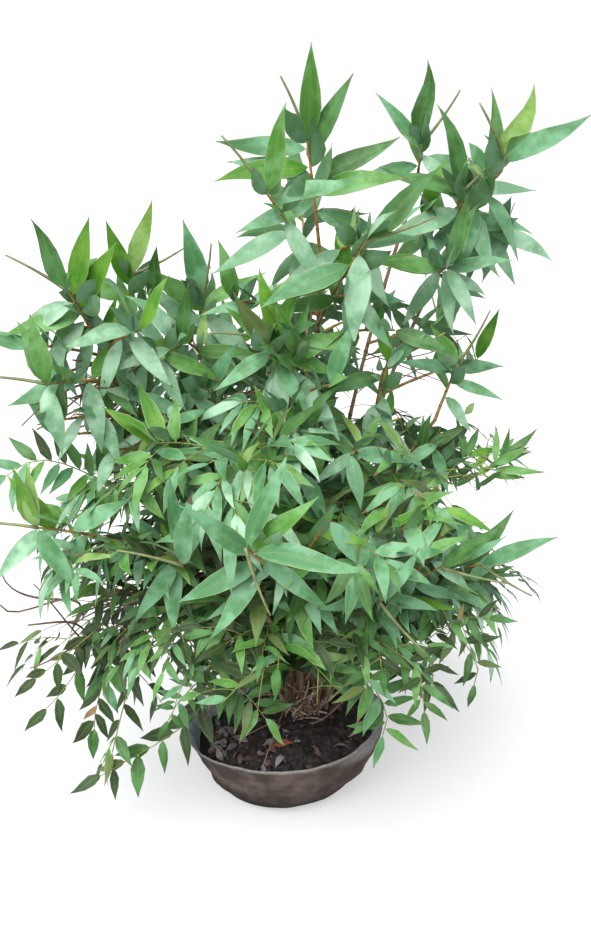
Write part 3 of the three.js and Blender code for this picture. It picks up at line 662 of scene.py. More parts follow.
# %% Baskets for twigs and leaves
SIGHT_SLOPE = 0.635  # how far the line of sight falls on its way back, for each metre
VIEW_PAST_BAG, FOOT_FROM, FOOT_TO = 10 * MM, -32 * MM, 22 * MM
CLEAR_OF_FOOT, CLEAR_OF_SOIL = 54 * MM, 5 * MM
ROOT, WAY, RISE, FACE, LENGTH, ZONE = slice(0, 3), slice(3, 6), 5, slice(6, 9), 9, 10  # columns of a row
ZONES = ["high", "sunlit", "star", "middle", "low", "dusk", "inner", "fringe", "frond"]
leaf_rows = {"large": [], "small": []}
twig_rows = {"green": [], "dry": [], "rolled": []}
shoot_stems = []


def hides_the_soil(point):
    """True where a point would cover the soil or the old stumps, seen from in front and above."""
    above = point[2] - CLUMP[2] - SIGHT_SLOPE * (CLUMP[1] - point[1])
    over_the_bag = point[1] < 0 and abs(point[0]) < BAG_RIM + VIEW_PAST_BAG
    before_the_foot = FOOT_FROM < point[0] - CLUMP[0] < FOOT_TO
    return over_the_bag and above < (CLEAR_OF_FOOT if before_the_foot else CLEAR_OF_SOIL)


def along_leaves(rows, share):
    """The point that share of the way from each leaf's root to its tip."""
    return rows[:, ROOT] + rows[:, WAY] * rows[:, [LENGTH]] * share


def take_out(size, hidden):
    """Takes the hidden leaves of one size out of their basket."""
    leaf_rows[size] = [row for row, out in zip(leaf_rows[size], hidden) if not out]
    print(size, "leaves taken out", sum(hidden), "left", len(leaf_rows[size]))


def add_leaf(size, zone, root, way, face, length):
    """Puts one leaf in its basket. Its face is made square to the way it points."""
    way = unit(way)
    face = unit(face - way * np.dot(face, way))
    leaf_rows[size].append((*root, *way, *face, length, ZONES.index(zone)))


def add_twig(kind, line, foot, tip):
    """Puts one twig in its basket, brought to the same number of points as the others."""
    share = np.linspace(0, 1, LINE_STEPS + 1)
    even = [spot(line, t) for t in share]
    twig_rows[kind].append((even, foot + (tip - foot) * share))


print("zones", ZONES)

# %% [markdown]
# The large shoots are listed as the solid model has them: the cane and the place on it, the shoot's own tip
# in millimetres, the length of its leaves, the bearing of its rolled leaf, and the bearings of the others.

# %% Shoots: where they go
SHOOTS = {
    "top": ("tall", 1, (26, -20, 950), 116, -24, (112, -110, 80, 62, -81, -98, 28, -85, 2)),
    "top_left": ("tall", 0.93, (-23, -120, 893), 106, -38, (185, -117, 150, 70, 13)),
    "top_right": ("tall", 0.8, (96, -140, 841), 116, 70, (100, -107, -114, 182, 45)),
    "far_right_top": ("right_tall", 0.96, (276, -20, 923), 108, -30, (165, 198, 150, -5, 20, 58)),
    "right_top": ("right_tall", 1, (228, 10, 885), 108, 40, (-140, 104, -112, 150, -70, -20)),
    "right_shoulder": ("right_tall", 0.86, (205, -10, 795), 96, 20, (116, -78, -150, 84, 30)),
    "back_top": ("back_right_tall", 1, (185, 100, 944), 98, 34, (152, -105, 103, 135, -42, 1)),
    "left_outer": ("left_front", 1, (-264, -120, 778), 100, -56, (190, -140, -103, 34, -120, 19, -21)),
    "left_high": ("left_front", 0.93, (-209, 30, 776), 98, 63, (160, 127, -70, -14, 17)),
    "left_side": ("left_front", 0.86, (-284, -170, 675), 88, -80, (138, 171, -108, -37, -25)),
    "left_middle": ("left_inner", 1, (-121, 80, 735), 104, 12, (146, -60, 132, -48, 64, -12)),
    "left_hanging": ("left_inner", 0.93, (-134, -60, 706), 88, -120, (150, 120, 95, 188, -140, -100, -48)),
    "middle_top": ("middle", 1, (-15, -100, 715), 88, -82, (-150, 200, 150, 110, -47, 21, -12)),
    "right_middle": ("right_inner", 1, (129, -80, 682), 82, 60, (-162, -126, 128, -105, 43, -10)),
    "right_shoot": ("right_outer", 1, (227, -40, 670), 80, 25, (142, -100, 109, -81, -37)),
    "front_star": ("front_low", 1, (-44, -315, 526), 100, 160, (94, -140, -117, 129, -47, 47, 24)),
    "front_left_star": ("front_left_low", 0.86, (-123, -240, 469), 96, -70, (163, 180, -146, -4, 10)),
    "left_star": ("front_left_low", 1, (-298, -220, 510), 88, -80, (157, -141, 60, -36, -12)),
    "right_star": ("front_right_low", 1, (189, -220, 458), 92, 100, (111, -145, -95, 60, 46)),
    "right_low_star": ("right_low", 0.75, (266, -80, 397), 92, 120, (160, 130, 38, 66)),
    "front_right_star": ("front_right_low", 0.84, (113, -250, 425), 76, 137, (-142, 110, -98, 29)),
    "back_tall_top": ("back_tall", 1, (20, 230, 850), 108, 20, (140, -130, 95, -80, 50, -40, 5)),
    "back_left_top": ("back_left", 1, (-165, 265, 660), 92, -30, (150, -130, 90, -70, 30, -15)),
    "back_right_top": ("back_right_tall", 0.62, (250, 245, 650), 92, 35, (-150, 120, -85, 65, -30, 15)),
}
HIGH_FROM, BACK_FROM, STAR_BEFORE = 600, 120, -300  # a tip above, behind or before these, in millimetres
SUNLIT = {"left_high", "left_side", "left_outer", "left_middle", "middle_top", "left_star"}  # lit from behind
SHOOT_SEED, LESSER_SEED, TUFT_SEED = 101, 161, 501
SHOOT_LIFT, TUFT_LIFT = 0.06, 0.14
SHOOT_STEM = (2.5 * MM, 1.4 * MM, 8, 24 * MM)  # radius at the foot and the tip, sides, and joint
LEAVES_FROM, LEAVES_OVER, SHORT_OF_TIP, SHORTER = 0.4, 0.6, 0.99, 0.8
FACE_FRONT, FACE_UP, FACE_ASIDE = 0.8, 0.55, 0.6  # what the upper side of a leaf turns to
LEAN, LENGTHS, SIDE_LENGTHS = (-0.15, 0.5), (0.92, 0.16), (0.75, 0.2)  # the least, and what chance adds
SPEAR_LEAN, SPEAR_SAG = 0.2, 0.05
SPEAR_LENGTH, SPEAR_FOOT, SPEAR_TIP = 82 * MM, 2.5 * MM, 1.1 * MM
DEPTHWAYS = ((0.5, -1), (0.75, 1))  # place on the stem, and lean forwards
SIDEWAYS = ((0.62, 1.5, 1), (0.82, -1.5, -1), (0.97, -2.2, 1), (0.97, 1.8, -1))  # and the side it faces
DEPTHWAYS_FAN, SIDEWAYS_FAN, DEPTHWAYS_TILT, SIDEWAYS_UP = 90, 110, 0.5, 0.4  # degrees, degrees, shares
TIP_LEAVES = {"left_star": (152, -141, -3), "left_side": (-8, 172)}  # bearings at the very tip
TIP_LEAN, TIP_FACE = -0.12, FRONT * 0.8 + UP * 0.5
GROWTH = {"star": 1.14}  # the lower stars are in the light and have the largest leaves
print("shoots", len(SHOOTS))

# %% [markdown]
# A shoot is a stem that leaves its cane and curves to its tip, with leaves from two fifths of the way up.
# The draws come in the same order as in the solid model, so each leaf stands where its solid one does. Two
# leaves give depth, the high shoots have four more that turn an edge forwards, and a new one, still rolled
# up, sticks out of the tip like a spear. Two shoots at the left have a few leaves at the very tip, placed
# one by one.


# %% Shoots: growing them
def drawn(draw, least, more):
    """A chance number from least on, up to that much more."""
    return least + more * next(draw)


def stem_line(cane, at, tip, lift):
    """A stem from the cane to its tip, its middle raised by a share of its length."""
    start, tip = spot(cane_lines[cane], at), np.array(tip) * MM
    middle = (start + tip) / 2 + UP * lift * np.linalg.norm(tip - start)
    return bezier(start, middle, tip)


def outwards(tip):
    """The level way from the clump to a place."""
    return unit((np.array(tip) * MM - CLUMP) * [1, 1, 0])


def grow_shoot(cane, at, tip, leaf, spear, bearings, seed, zone):
    """Leaves at their bearings up the stem, then one backwards, one forwards, and the spear at the tip."""
    draw, leaf = seeded(seed), leaf * MM * GROWTH.get(zone, 1)
    stem = stem_line(cane, at, tip, SHOOT_LIFT)
    shoot_stems.append(jointed(stem, *SHOOT_STEM))
    front = FRONT if tip[1] < BACK_FROM else outwards(tip)
    side = np.cross(UP, front)

    def point(bearing, lean):
        turn = np.radians(bearing)
        return unit(side * np.sin(turn) + UP * np.cos(turn) + front * lean)

    for i, bearing in enumerate(bearings):
        root = spot(stem, SHORT_OF_TIP * (LEAVES_FROM + LEAVES_OVER * i / (len(bearings) - 1)))
        way = point(bearing, drawn(draw, *LEAN))
        face = front * FACE_FRONT + UP * FACE_UP + side * FACE_ASIDE * (next(draw) - 0.5)
        length = leaf * drawn(draw, *LENGTHS) * (SHORTER if i == 0 else 1)
        add_leaf("large", zone, root, way, face, length)
    for share, lean in DEPTHWAYS:
        way = point(DEPTHWAYS_FAN * (next(draw) - 0.5), lean)
        face = UP + (side - UP) * DEPTHWAYS_TILT * next(draw)
        add_leaf("large", zone, spot(stem, share), way, face, SHORTER * leaf)
    for share, lean, edge in SIDEWAYS if tip[2] > HIGH_FROM else ():
        way = point(SIDEWAYS_FAN * (next(draw) - 0.5), lean)
        length = drawn(draw, *SIDE_LENGTHS) * leaf
        add_leaf("large", zone, spot(stem, share), way, side * edge + UP * SIDEWAYS_UP, length)
    if spear is not None:
        reach = point(spear, SPEAR_LEAN) * SPEAR_LENGTH
        sag = np.cross(reach, front) * SPEAR_SAG
        spear_line = bezier(stem[-1], stem[-1] + reach * 0.5 + sag, stem[-1] + reach)
        add_twig("rolled", spear_line, SPEAR_FOOT, SPEAR_TIP)
    return stem


stems = {}
for i, (name, row) in enumerate(SHOOTS.items()):
    zone = "sunlit" if name in SUNLIT else "high" if row[2][2] > HIGH_FROM else "star"
    stems[name] = grow_shoot(*row, SHOOT_SEED + i, zone)
for name, bearings in TIP_LEAVES.items():
    for bearing in np.radians(bearings):
        way = np.array([np.sin(bearing), TIP_LEAN, np.cos(bearing)])
        zone = "sunlit" if name in SUNLIT else "star"
        add_leaf("large", zone, stems[name][-1], way, TIP_FACE, SHOOTS[name][3] * MM)
print("large leaves", len(leaf_rows["large"]))

# %% [markdown]
# Between the large shoots stand smaller ones, with fewer leaves. They fill the middle of the plant and hang
# before its canes. Each has only a tip, a leaf length and bearings, and grows from the nearest cane just
# below.

# %% Smaller shoots between
LESSER_SHOOTS = [
    ((-234, -60, 703), 74, (200, 168, 140, -60, 20)),
    ((-134, -90, 706), 80, (196, 150, 120, -110, 12)),
    ((-21, -130, 712), 88, (205, 175, 150, -120, -30)),
    ((12, -100, 694), 84, (165, 140, 195, 60, -20)),
    ((-106, -60, 640), 84, (170, 200, 130, -130, 35)),
    ((15, -170, 560), 84, (18, -20, 150, -150)),
    ((127, -60, 668), 76, (200, 165, 100, -100)),
    ((77, -30, 681), 78, (-150, 190, 130, -70, 10)),
    ((-126, -140, 560), 72, (-14, 12, 40, -60, 130)),
    ((-50, -190, 530), 70, (8, -25, 60, -100)),
    ((149, -60, 600), 78, (185, 150, -140, 60)),
    ((-201, -80, 637), 84, (185, 150, -150, 110)),
    ((81, -150, 579), 72, (30, -10, 100, -130, 170)),
    ((-291, -100, 590), 70, (170, -150, 20, -40)),
    ((205, -50, 560), 70, (15, 60, 160, -120)),
    ((-223, -120, 575), 66, (-20, 25, 150, -160)),
    ((-66, -40, 752), 84, (160, 190, -100, 70, -15)),
    ((-180, 0, 745), 78, (170, -140, 120, 10)),
    ((40, 200, 700), 84, (160, -150, 110, -90, 20)),
    ((-90, 230, 640), 80, (170, -140, 100, -60, 10)),
    ((130, 220, 690), 84, (150, -160, 90, -80, 30)),
    ((-230, 160, 620), 76, (160, -150, 100, -60)),
    ((280, 110, 640), 78, (170, -140, 90, -40, 20)),
    ((0, 280, 640), 78, (165, -150, 110, -60, 0)),
    ((91, -90, 834), 92, (180, -122, 84, 150, 60)),
    ((204, -60, 798), 92, (118, -84, 170, 150, 12)),
    ((17, -90, 724), 78, (-8, 14, -34, 100, -150)),
    ((78, -110, 770), 86, (104, -106, 172, 140)),
    ((179, 50, 853), 84, (150, -130, 82, 178, 24)),
    ((248, 70, 884), 84, (172, 126, -150, 90)),
    ((303, 60, 838), 84, (186, 150, 120, 204)),
    ((-252, -80, 760), 80, (-20, 16, 160, -140)),
    ((-177, -130, 732), 82, (176, 200, 140, -100, 30)),
    ((-312, -110, 709), 78, (180, -150, 150, -80)),
    ((136, -90, 724), 84, (186, 150, -128, 110)),
    ((55, -120, 661), 82, (178, 150, -150, 110, 20)),
    ((-36, -318, 520), 112, (-8, 90)),
    ((-276, -160, 627), 70, (190, 160, -150, 10)),
    ((-102, -230, 511), 66, (14, -24, 90, -110)),
    ((52, -250, 532), 66, (-16, 30, 100, 150)),
    ((177, -210, 463), 72, (-10, 34, 76, 130)),
]
LESSER_SUNLIT = {5, 12, 26, 31}  # rows of the list, counted from 0
STEM_LEAST, STEM_MOST = 25 * MM, 150 * MM


def nearest_cane(tip):
    """The cane and the place on it that come nearest to a tip, from a little below it."""
    best = (np.inf, "", 0)
    for name, line in cane_lines.items():
        below = tip[2] - line[:, 2]
        away = np.linalg.norm(line - tip, axis=1) + np.where((below > STEM_LEAST) & (below < STEM_MOST), 0, 1)
        best = min(best, (away.min(), name, away.argmin() / (len(line) - 1)))
    return best[1:]


for i, (tip, leaf, bearings) in enumerate(LESSER_SHOOTS):
    zone = "high" if tip[2] > HIGH_FROM else "star" if tip[1] < STAR_BEFORE else "middle"
    zone = "sunlit" if i in LESSER_SUNLIT else zone
    grow_shoot(*nearest_cane(np.array(tip) * MM), tip, leaf, None, bearings, LESSER_SEED + i, zone)
print("large leaves with the lesser shoots", len(leaf_rows["large"]))

# %% [markdown]
# Tufts are the fine part of the plant. The solid model gives each a stem, a few side twigs and large leaves
# that stand for many. Here the same twigs reach as far, but carry short leaves and finer twigs of their own,
# as a real one does. Each row has the cane and the place on it, the tip, the number of side twigs and their
# length, how the leaves stand, the zone and the length of a leaf, in millimetres.

# %% Tufts: where they go
TUFTS = {
    "centre": ("right_inner", 0.72, (60, -180, 475), 6, 100, "fan", "middle", 66),
    "centre_left": ("middle", 0.74, (-95, -170, 575), 6, 100, "fan", "middle", 70),
    "left_heart": ("left_front", 0.62, (-285, -110, 455), 6, 95, "fan", "middle", 58),
    "right_heart": ("right_outer", 0.7, (205, -95, 515), 5, 90, "fan", "fringe", 64),
    "right_fringe": ("right_outer", 0.84, (296, 40, 520), 4, 60, "bare", "fringe", 54),
    "front_skirt": ("front_low", 0.72, (-10, -265, 345), 5, 85, "comb", "low", 56),
    "front_left_skirt": ("front_left_low", 0.7, (-175, -190, 335), 6, 95, "comb", "low", 54),
    "front_right_skirt": ("front_right_low", 0.72, (120, -220, 320), 5, 75, "comb", "low", 54),
    "right_skirt": ("right_low", 1, (262, -90, 300), 4, 65, "thin", "fringe", 50),
    "left_skirt": ("left_low", 1, (-325, -60, 262), 5, 75, "thin", "dusk", 60),
    "left_hanging_frond": ("left_low", 0.8, (-238, -175, 160), 3, 50, "bare", "dusk", 52),
    "back_middle": ("back_tall", 0.72, (10, 285, 560), 6, 95, "fan", "middle", 66),
    "back_left_middle": ("back_left", 0.8, (-245, 170, 470), 6, 90, "fan", "middle", 62),
    "back_right_middle": ("back_right_tall", 0.55, (235, 190, 450), 6, 90, "fan", "middle", 62),
    "back_left_skirt": ("back_left", 0.55, (-260, 225, 275), 6, 90, "comb", "low", 52),
    "back_skirt": ("back_low", 1, (40, 330, 295), 6, 95, "comb", "low", 54),
    "back_right_skirt": ("back_right_low", 1, (315, 190, 270), 6, 90, "comb", "low", 52),
}
print("tufts", len(TUFTS))

# %% [markdown]
# On a twig the leaves stand in one of two ways: left and right in turn all along it, like the teeth of a
# comb, or close together at its end, like the fingers of a hand. Combs droop more in the shade.

# %% Combs and fans of leaves
COMB_STEP, WIDER_STEP = 9.5 * MM, {"thin": 1.55, "bare": 2.0}
COMB_FROM, COMB_RISE, COMB_TILT, COMB_OPEN = 0.2, 0.4, 0.18, (50, 18)  # degrees, and what chance adds
COMB_SIZES, COMB_LONGEST_AT, COMB_LESS, COMB_TOP = (0.8, 1.1), 0.55, 0.3, 0.85
DROOP, COMMON_DROOP = {"dusk": 0.95, "fringe": 0.5, "frond": 0.12}, 0.34
FAN_FROM, FAN_OPEN, FAN_CLOSES, FAN_WAVER = 0.68, 74, 60, 12  # the last three in degrees
FAN_UPRIGHT, FAN_STANDS, FAN_HANGS = 0.3, (0.3, 1.1), (-0.9, 0.1)  # the share that stands, and the rises
FAN_UNEVEN, FAN_TILT, FAN_SIZES = 0.2, 0.25, (0.72, 1.25)
fine = np.random.default_rng(77)


def add_comb(line, face, leaf, zone, first=COMB_FROM, step=COMB_STEP):
    """Leaves along a twig, left and right in turn like the teeth of a comb, and a last one at its tip."""
    length = np.linalg.norm(np.diff(line, axis=0), axis=1).sum()
    count = max(3, int(length * (1 - first) / step))
    for j in range(count):
        t = first + (1 - first) * j / count
        along = heading(line, t)
        side = unit(np.cross(along, face)) * (-1 if j % 2 else 1)
        spread = np.radians(COMB_OPEN[0] + COMB_OPEN[1] * fine.random())
        rise = COMB_RISE * fine.random() - DROOP.get(zone, COMMON_DROOP)
        way = along * np.cos(spread) + side * np.sin(spread) + UP * rise
        size = leaf * fine.uniform(*COMB_SIZES) * (1 - COMB_LESS * abs(t - COMB_LONGEST_AT))
        tilted = face + fine.normal(scale=COMB_TILT, size=3)
        add_leaf("small", zone, spot(line, t), way, tilted, size)
    add_leaf("small", zone, line[-1], heading(line, 1), face, leaf * COMB_TOP)


def add_fan(line, face, leaf, zone, count=5):
    """Leaves on the last third of a twig, opening like fingers. Most fans hang, some stand up."""
    rise = fine.uniform(*FAN_STANDS) if fine.random() < FAN_UPRIGHT else fine.uniform(*FAN_HANGS)
    for j in range(count):
        t = FAN_FROM + (1 - FAN_FROM) * j / (count - 1)
        along = heading(line, t)
        side = unit(np.cross(along, face)) * (-1 if j % 2 else 1)
        open_by = FAN_OPEN - FAN_CLOSES * j / (count - 1) + fine.uniform(-FAN_WAVER, FAN_WAVER)
        spread, lift = np.radians(open_by), rise + fine.uniform(-FAN_UNEVEN, FAN_UNEVEN)
        way = along * np.cos(spread) + side * np.sin(spread) + UP * lift
        tilted = face + fine.normal(scale=FAN_TILT, size=3)
        add_leaf("small", zone, spot(line, t), way, tilted, leaf * fine.uniform(*FAN_SIZES))


print("a comb has a leaf every", round(COMB_STEP / MM, 1), "mm")

# %% [markdown]
# A spray is one twig with its leaves, and up to three finer twigs that fork off it with leaves of their own.
# A tuft is a stem with a spray on each of its side twigs.

# %% Sprays and tufts
FORKS = {"fan": 3, "comb": 2, "thin": 1, "bare": 0}
STEM_TWIG, SPRAY_TWIG, FORK_TWIG = (1.5 * MM, 0.8 * MM), (1.0 * MM, 0.5 * MM), (0.8 * MM, 0.4 * MM)
SPRAY_NOD, FORK_NOD, FORK_REACH = (0.1, 0.08), (0.06, 0.05), (0.45, 0.65)
FORKS_FROM, FORKS_OVER, FORK_LEAF = 0.25, 0.5, 0.9
FORK_AHEAD, FORK_ASIDE, FORK_SCATTER = 0.7, 0.8, 0.6
TUFT_UP, TUFT_OUT, TUFT_COMB_FROM = 0.8, 0.6, 0.35
TWIGS_FROM, TWIGS_OVER, TWIG_AHEAD, TWIG_ASIDE, TWIG_SCATTER = 0.2, 0.72, 0.6, 0.8, 1.1
TWIG_LONGEST, TWIG_LESS, TWIG_LENGTHS = 1.1, 0.4, (0.85, 0.3)
PAST_SOLID = 20 * MM  # a spray is that much longer than the solid's twig, whose large leaves reach past it
LEAF_DRAWS = 3  # how many draws the solid model spends on one leaf of a tuft


def nodding(start, end, length, rise, sink):
    """A twig that rises in its middle and sinks at its end, by shares of a length."""
    return bezier(start, (start + end) / 2 + UP * rise * length, end - UP * sink * length)


def add_spray(root, way, length, face, zone, style, leaf, forks=3):
    """A twig that nods a little, its leaves in a fan or a comb, and finer twigs to the left and right."""
    end = root + unit(way) * length
    line = nodding(root, end, length, *SPRAY_NOD)
    add_twig("green", line, *SPRAY_TWIG)
    step = COMB_STEP * WIDER_STEP.get(style, 1)

    def grow(twig, size):
        if style == "fan":
            add_fan(twig, face, size, zone)
        else:
            add_comb(twig, face, size, zone, step=step)

    grow(line, leaf)
    for k in range(forks):
        t = FORKS_FROM + FORKS_OVER * k / max(1, forks - 1)
        along = heading(line, t)
        side = unit(np.cross(along, face)) * (1 if k % 2 else -1)
        scatter = face * FORK_SCATTER * (fine.random() - 0.5)
        branch = unit(along * FORK_AHEAD + side * FORK_ASIDE + scatter)
        start = spot(line, t)
        far = start + branch * length * fine.uniform(*FORK_REACH)
        twig = nodding(start, far, length, *FORK_NOD)
        add_twig("green", twig, *FORK_TWIG)
        grow(twig, leaf * FORK_LEAF)


def grow_tuft(name, seed):
    """The solid tuft's stem and side twigs, each carried on as a spray. The draws of its large leaves are
    passed over, so that the twigs get the same draws as there."""
    cane, at, tip, twigs, reach, style, zone, leaf = TUFTS[name]
    draw = seeded(seed)
    stem = stem_line(cane, at, tip, TUFT_LIFT)
    add_twig("green", stem, *STEM_TWIG)
    face = unit(UP * TUFT_UP + outwards(tip) * TUFT_OUT)
    for _ in range(3 * LEAF_DRAWS):
        next(draw)
    add_comb(stem, face, leaf * MM, zone, TUFT_COMB_FROM, COMB_STEP * (1 if FORKS[style] > 1 else 2))
    for k in range(twigs):
        t = TWIGS_FROM + TWIGS_OVER * k / (twigs - 1)
        along = heading(stem, t)
        side = unit(np.cross(along, face)) * (-1 if k % 2 else 1)
        way = unit(along * TWIG_AHEAD + side * TWIG_ASIDE + face * TWIG_SCATTER * (next(draw) - 0.5))
        length = reach * MM * (TWIG_LONGEST - TWIG_LESS * t) * drawn(draw, *TWIG_LENGTHS)
        for _ in range(2 * LEAF_DRAWS):
            next(draw)
        add_spray(spot(stem, t), way, length + PAST_SOLID, face, zone, style, leaf * MM, FORKS[style])
    return stem


stems.update({name: grow_tuft(name, TUFT_SEED + i) for i, name in enumerate(TUFTS)})
print("small leaves so far", len(leaf_rows["small"]))

# %% [markdown]
# The canes are leafy on the way up too. From each joint a spray grows out, every one turned on from the
# last by the golden angle, so that no two stand over each other. They stop where daylight shows between the
# tall canes.

# %% Sprays up the canes
GOLDEN = np.pi * (3 - np.sqrt(5))
SPRAY_PLACES = np.arange(0.16, 0.97, 0.05)
SPRAY_LOWEST, SPRAY_HIGHEST, OPEN_HIGHEST, FANS_ABOVE = 175 * MM, 620 * MM, 505 * MM, 320 * MM
SPRAY_LEAF, SPRAY_REACH, SPRAY_RISE = {"fan": 68 * MM, "comb": 48 * MM}, (55, 95), (0.1, 0.7)
SPRAY_OUT, SPRAY_FORKS = 0.5, 2
OPEN_SIDE = {"tall", "right_tall", "back_right_tall", "right_outer", "right_inner"}  # daylight between them
turn = 0.0
for name, line in cane_lines.items():
    highest = OPEN_HIGHEST if name in OPEN_SIDE else SPRAY_HIGHEST
    for root in (spot(line, t) for t in SPRAY_PLACES):
        turn += GOLDEN
        if not SPRAY_LOWEST < root[2] < highest:
            continue
        flat = unit(np.array([np.cos(turn), np.sin(turn), 0]) + SPRAY_OUT * outwards(root / MM))
        style = "fan" if root[2] > FANS_ABOVE else "comb"
        way, face = flat + UP * fine.uniform(*SPRAY_RISE), unit(UP * TUFT_UP + flat * TUFT_OUT)
        length = fine.uniform(*SPRAY_REACH) * MM
        add_spray(root, way, length, face, "inner", style, SPRAY_LEAF[style], SPRAY_FORKS)
print("small leaves", len(leaf_rows["small"]))

# %% [markdown]
# Dead twigs, brown and forked, fill the shade below, and half of them stand at the left, where they are
# bent and thicker. A few bare ones there are long enough to stand free of the leaves, and one more leans
# out of the clump's foot. Those are placed one by one, each by four points that it passes through.

# %% Dead twigs
DEAD_TWIGS, LEFT_CANES = 210, ["left_low", "left_front", "front_left_low"]
DEAD_REACH, DEAD_FORK = (60, 170), (18, 45)  # how long a twig and its fork are, in millimetres
ON_LEFT_CANE, ON_CANE, LEFT_AIM = (0.35, 0.95), (0.15, 0.7), [-1.2, -0.4, 0]
DEAD_SCATTER, DEAD_RISE, DEAD_BEND, DEAD_ARCH = 0.7, (-0.35, 0.3), 14, 12
FORK_AT, DEAD_FORK_RISE, DEAD_FORK_MIDDLE, DEAD_FORK_ARCH = 0.55, (-0.4, 0.6), 0.6, 3
DEAD_TWIG, LEFT_TWIG, BARE_TWIG = (1.0 * MM, 0.6 * MM), (1.9 * MM, 1.1 * MM), (2.0 * MM, 1.2 * MM)
TWIG_BOUNDS = [-440 * MM, -330 * MM, 120 * MM]  # no dead twig ends further left, further in front or lower
for i in range(DEAD_TWIGS):
    to_the_left = i % 2 > 0
    line = cane_lines[fine.choice(LEFT_CANES if to_the_left else list(CANES))]
    root = spot(line, fine.uniform(*(ON_LEFT_CANE if to_the_left else ON_CANE)))
    aim = LEFT_AIM if to_the_left else outwards(root / MM)
    flat = unit(fine.normal(scale=DEAD_SCATTER, size=3) * [1, 1, 0] + aim)
    end = root + (flat + UP * fine.uniform(*DEAD_RISE)) * fine.uniform(*DEAD_REACH) * MM
    end = np.maximum(end, TWIG_BOUNDS)
    bend = fine.normal(scale=DEAD_BEND, size=3) * MM + UP * DEAD_ARCH * MM
    twig = bezier(root, (root + end) / 2 + bend, end)
    add_twig("dry", twig, *(LEFT_TWIG if to_the_left else DEAD_TWIG))
    start, aside = spot(twig, FORK_AT), np.cross(UP, flat) * fine.choice([-1, 1])
    reach = (flat + aside + UP * fine.uniform(*DEAD_FORK_RISE)) * fine.uniform(*DEAD_FORK) * MM
    middle = start + reach * DEAD_FORK_MIDDLE + UP * DEAD_FORK_ARCH * MM
    add_twig("dry", bezier(start, middle, start + reach), *DEAD_TWIG)
BARE = [
    ((4, -4, 94), (28, -12, 95), (62, -35, 128), (105, -85, 192)),
    ((-291, -60, 309), (-325, -110, 353), (-363, -140, 355), (-374, -160, 376)),
    ((-288, -60, 281), (-307, -100, 319), (-326, -130, 333), (-343, -150, 341)),
    ((-280, -50, 247), (-303, -90, 307), (-320, -110, 352), (-336, -130, 391)),
    ((-314, -90, 348), (-338, -110, 361), (-363, -130, 383), (-374, -140, 411)),
    ((-269, -60, 268), (-294, -80, 272), (-329, -110, 265), (-352, -130, 264)),
]
for points in BARE:
    add_twig("dry", through(np.array(points) * MM), *BARE_TWIG)
print("twigs", {kind: len(rows) for kind, rows in twig_rows.items()})

# %% [markdown]
# In front, the foliage parts over the bag, so that the soil and the foot of the clump can be seen. Short
# leaves that would hang into that view are taken out of their basket, before the single fronds are added.
# At the far left, where many twigs are dead, some leaves are taken out too, and so are all that would close
# the gaps where daylight shows through the plant.

# %% The soil kept in view
DEAD_SIDE, DEAD_FROM, DEAD_TO, DEAD_SHARE = -290 * MM, 262 * MM, 420 * MM, 0.7
LOOKED_AT = (0.25, 0.5, 0.75)  # the places on a leaf that may not lie in a gap
# The low left and the high right corner of each gap, x and z, on a sheet that stands through the pot.
DAYLIGHT = np.array([
    ((165, 585), (210, 642)),
    ((66, 578), (108, 626)),
    ((98, 648), (124, 700)),
    ((222, 446), (372, 482)),
]) * MM


def in_daylight(points):
    """True where a point lies in a gap, brought to the standing sheet along the camera's line of sight."""
    eye = np.array(camera.location)
    share = -eye[1] / (points[:, 1:2] - eye[1])
    seen = (eye + (points - eye) * share)[:, None, [0, 2]]
    return ((seen > DAYLIGHT[:, 0]) & (seen < DAYLIGHT[:, 1])).all(-1).any(-1)


rows = np.array(leaf_rows["small"])
covers = [hides_the_soil(a) or hides_the_soil(b) for a, b in zip(rows[:, ROOT], along_leaves(rows, 1))]
among_dead = (rows[:, 0] < DEAD_SIDE) & (rows[:, 2] > DEAD_FROM) & (rows[:, 2] < DEAD_TO)
take_out("small", np.array(covers) | (among_dead & (fine.random(len(rows)) < DEAD_SHARE)))
for size in leaf_rows:
    rows = np.array(leaf_rows[size])
    take_out(size, sum(in_daylight(along_leaves(rows, share)) for share in LOOKED_AT) > 0)

# %% [markdown]
# A few fronds hang over the rim, and a few small twigs stand out of the crown's outline. They show as
# single things, so each is placed one by one: the stem that it leaves, three more points that it passes
# through, the length and the spacing of its leaves in millimetres, and their zone.

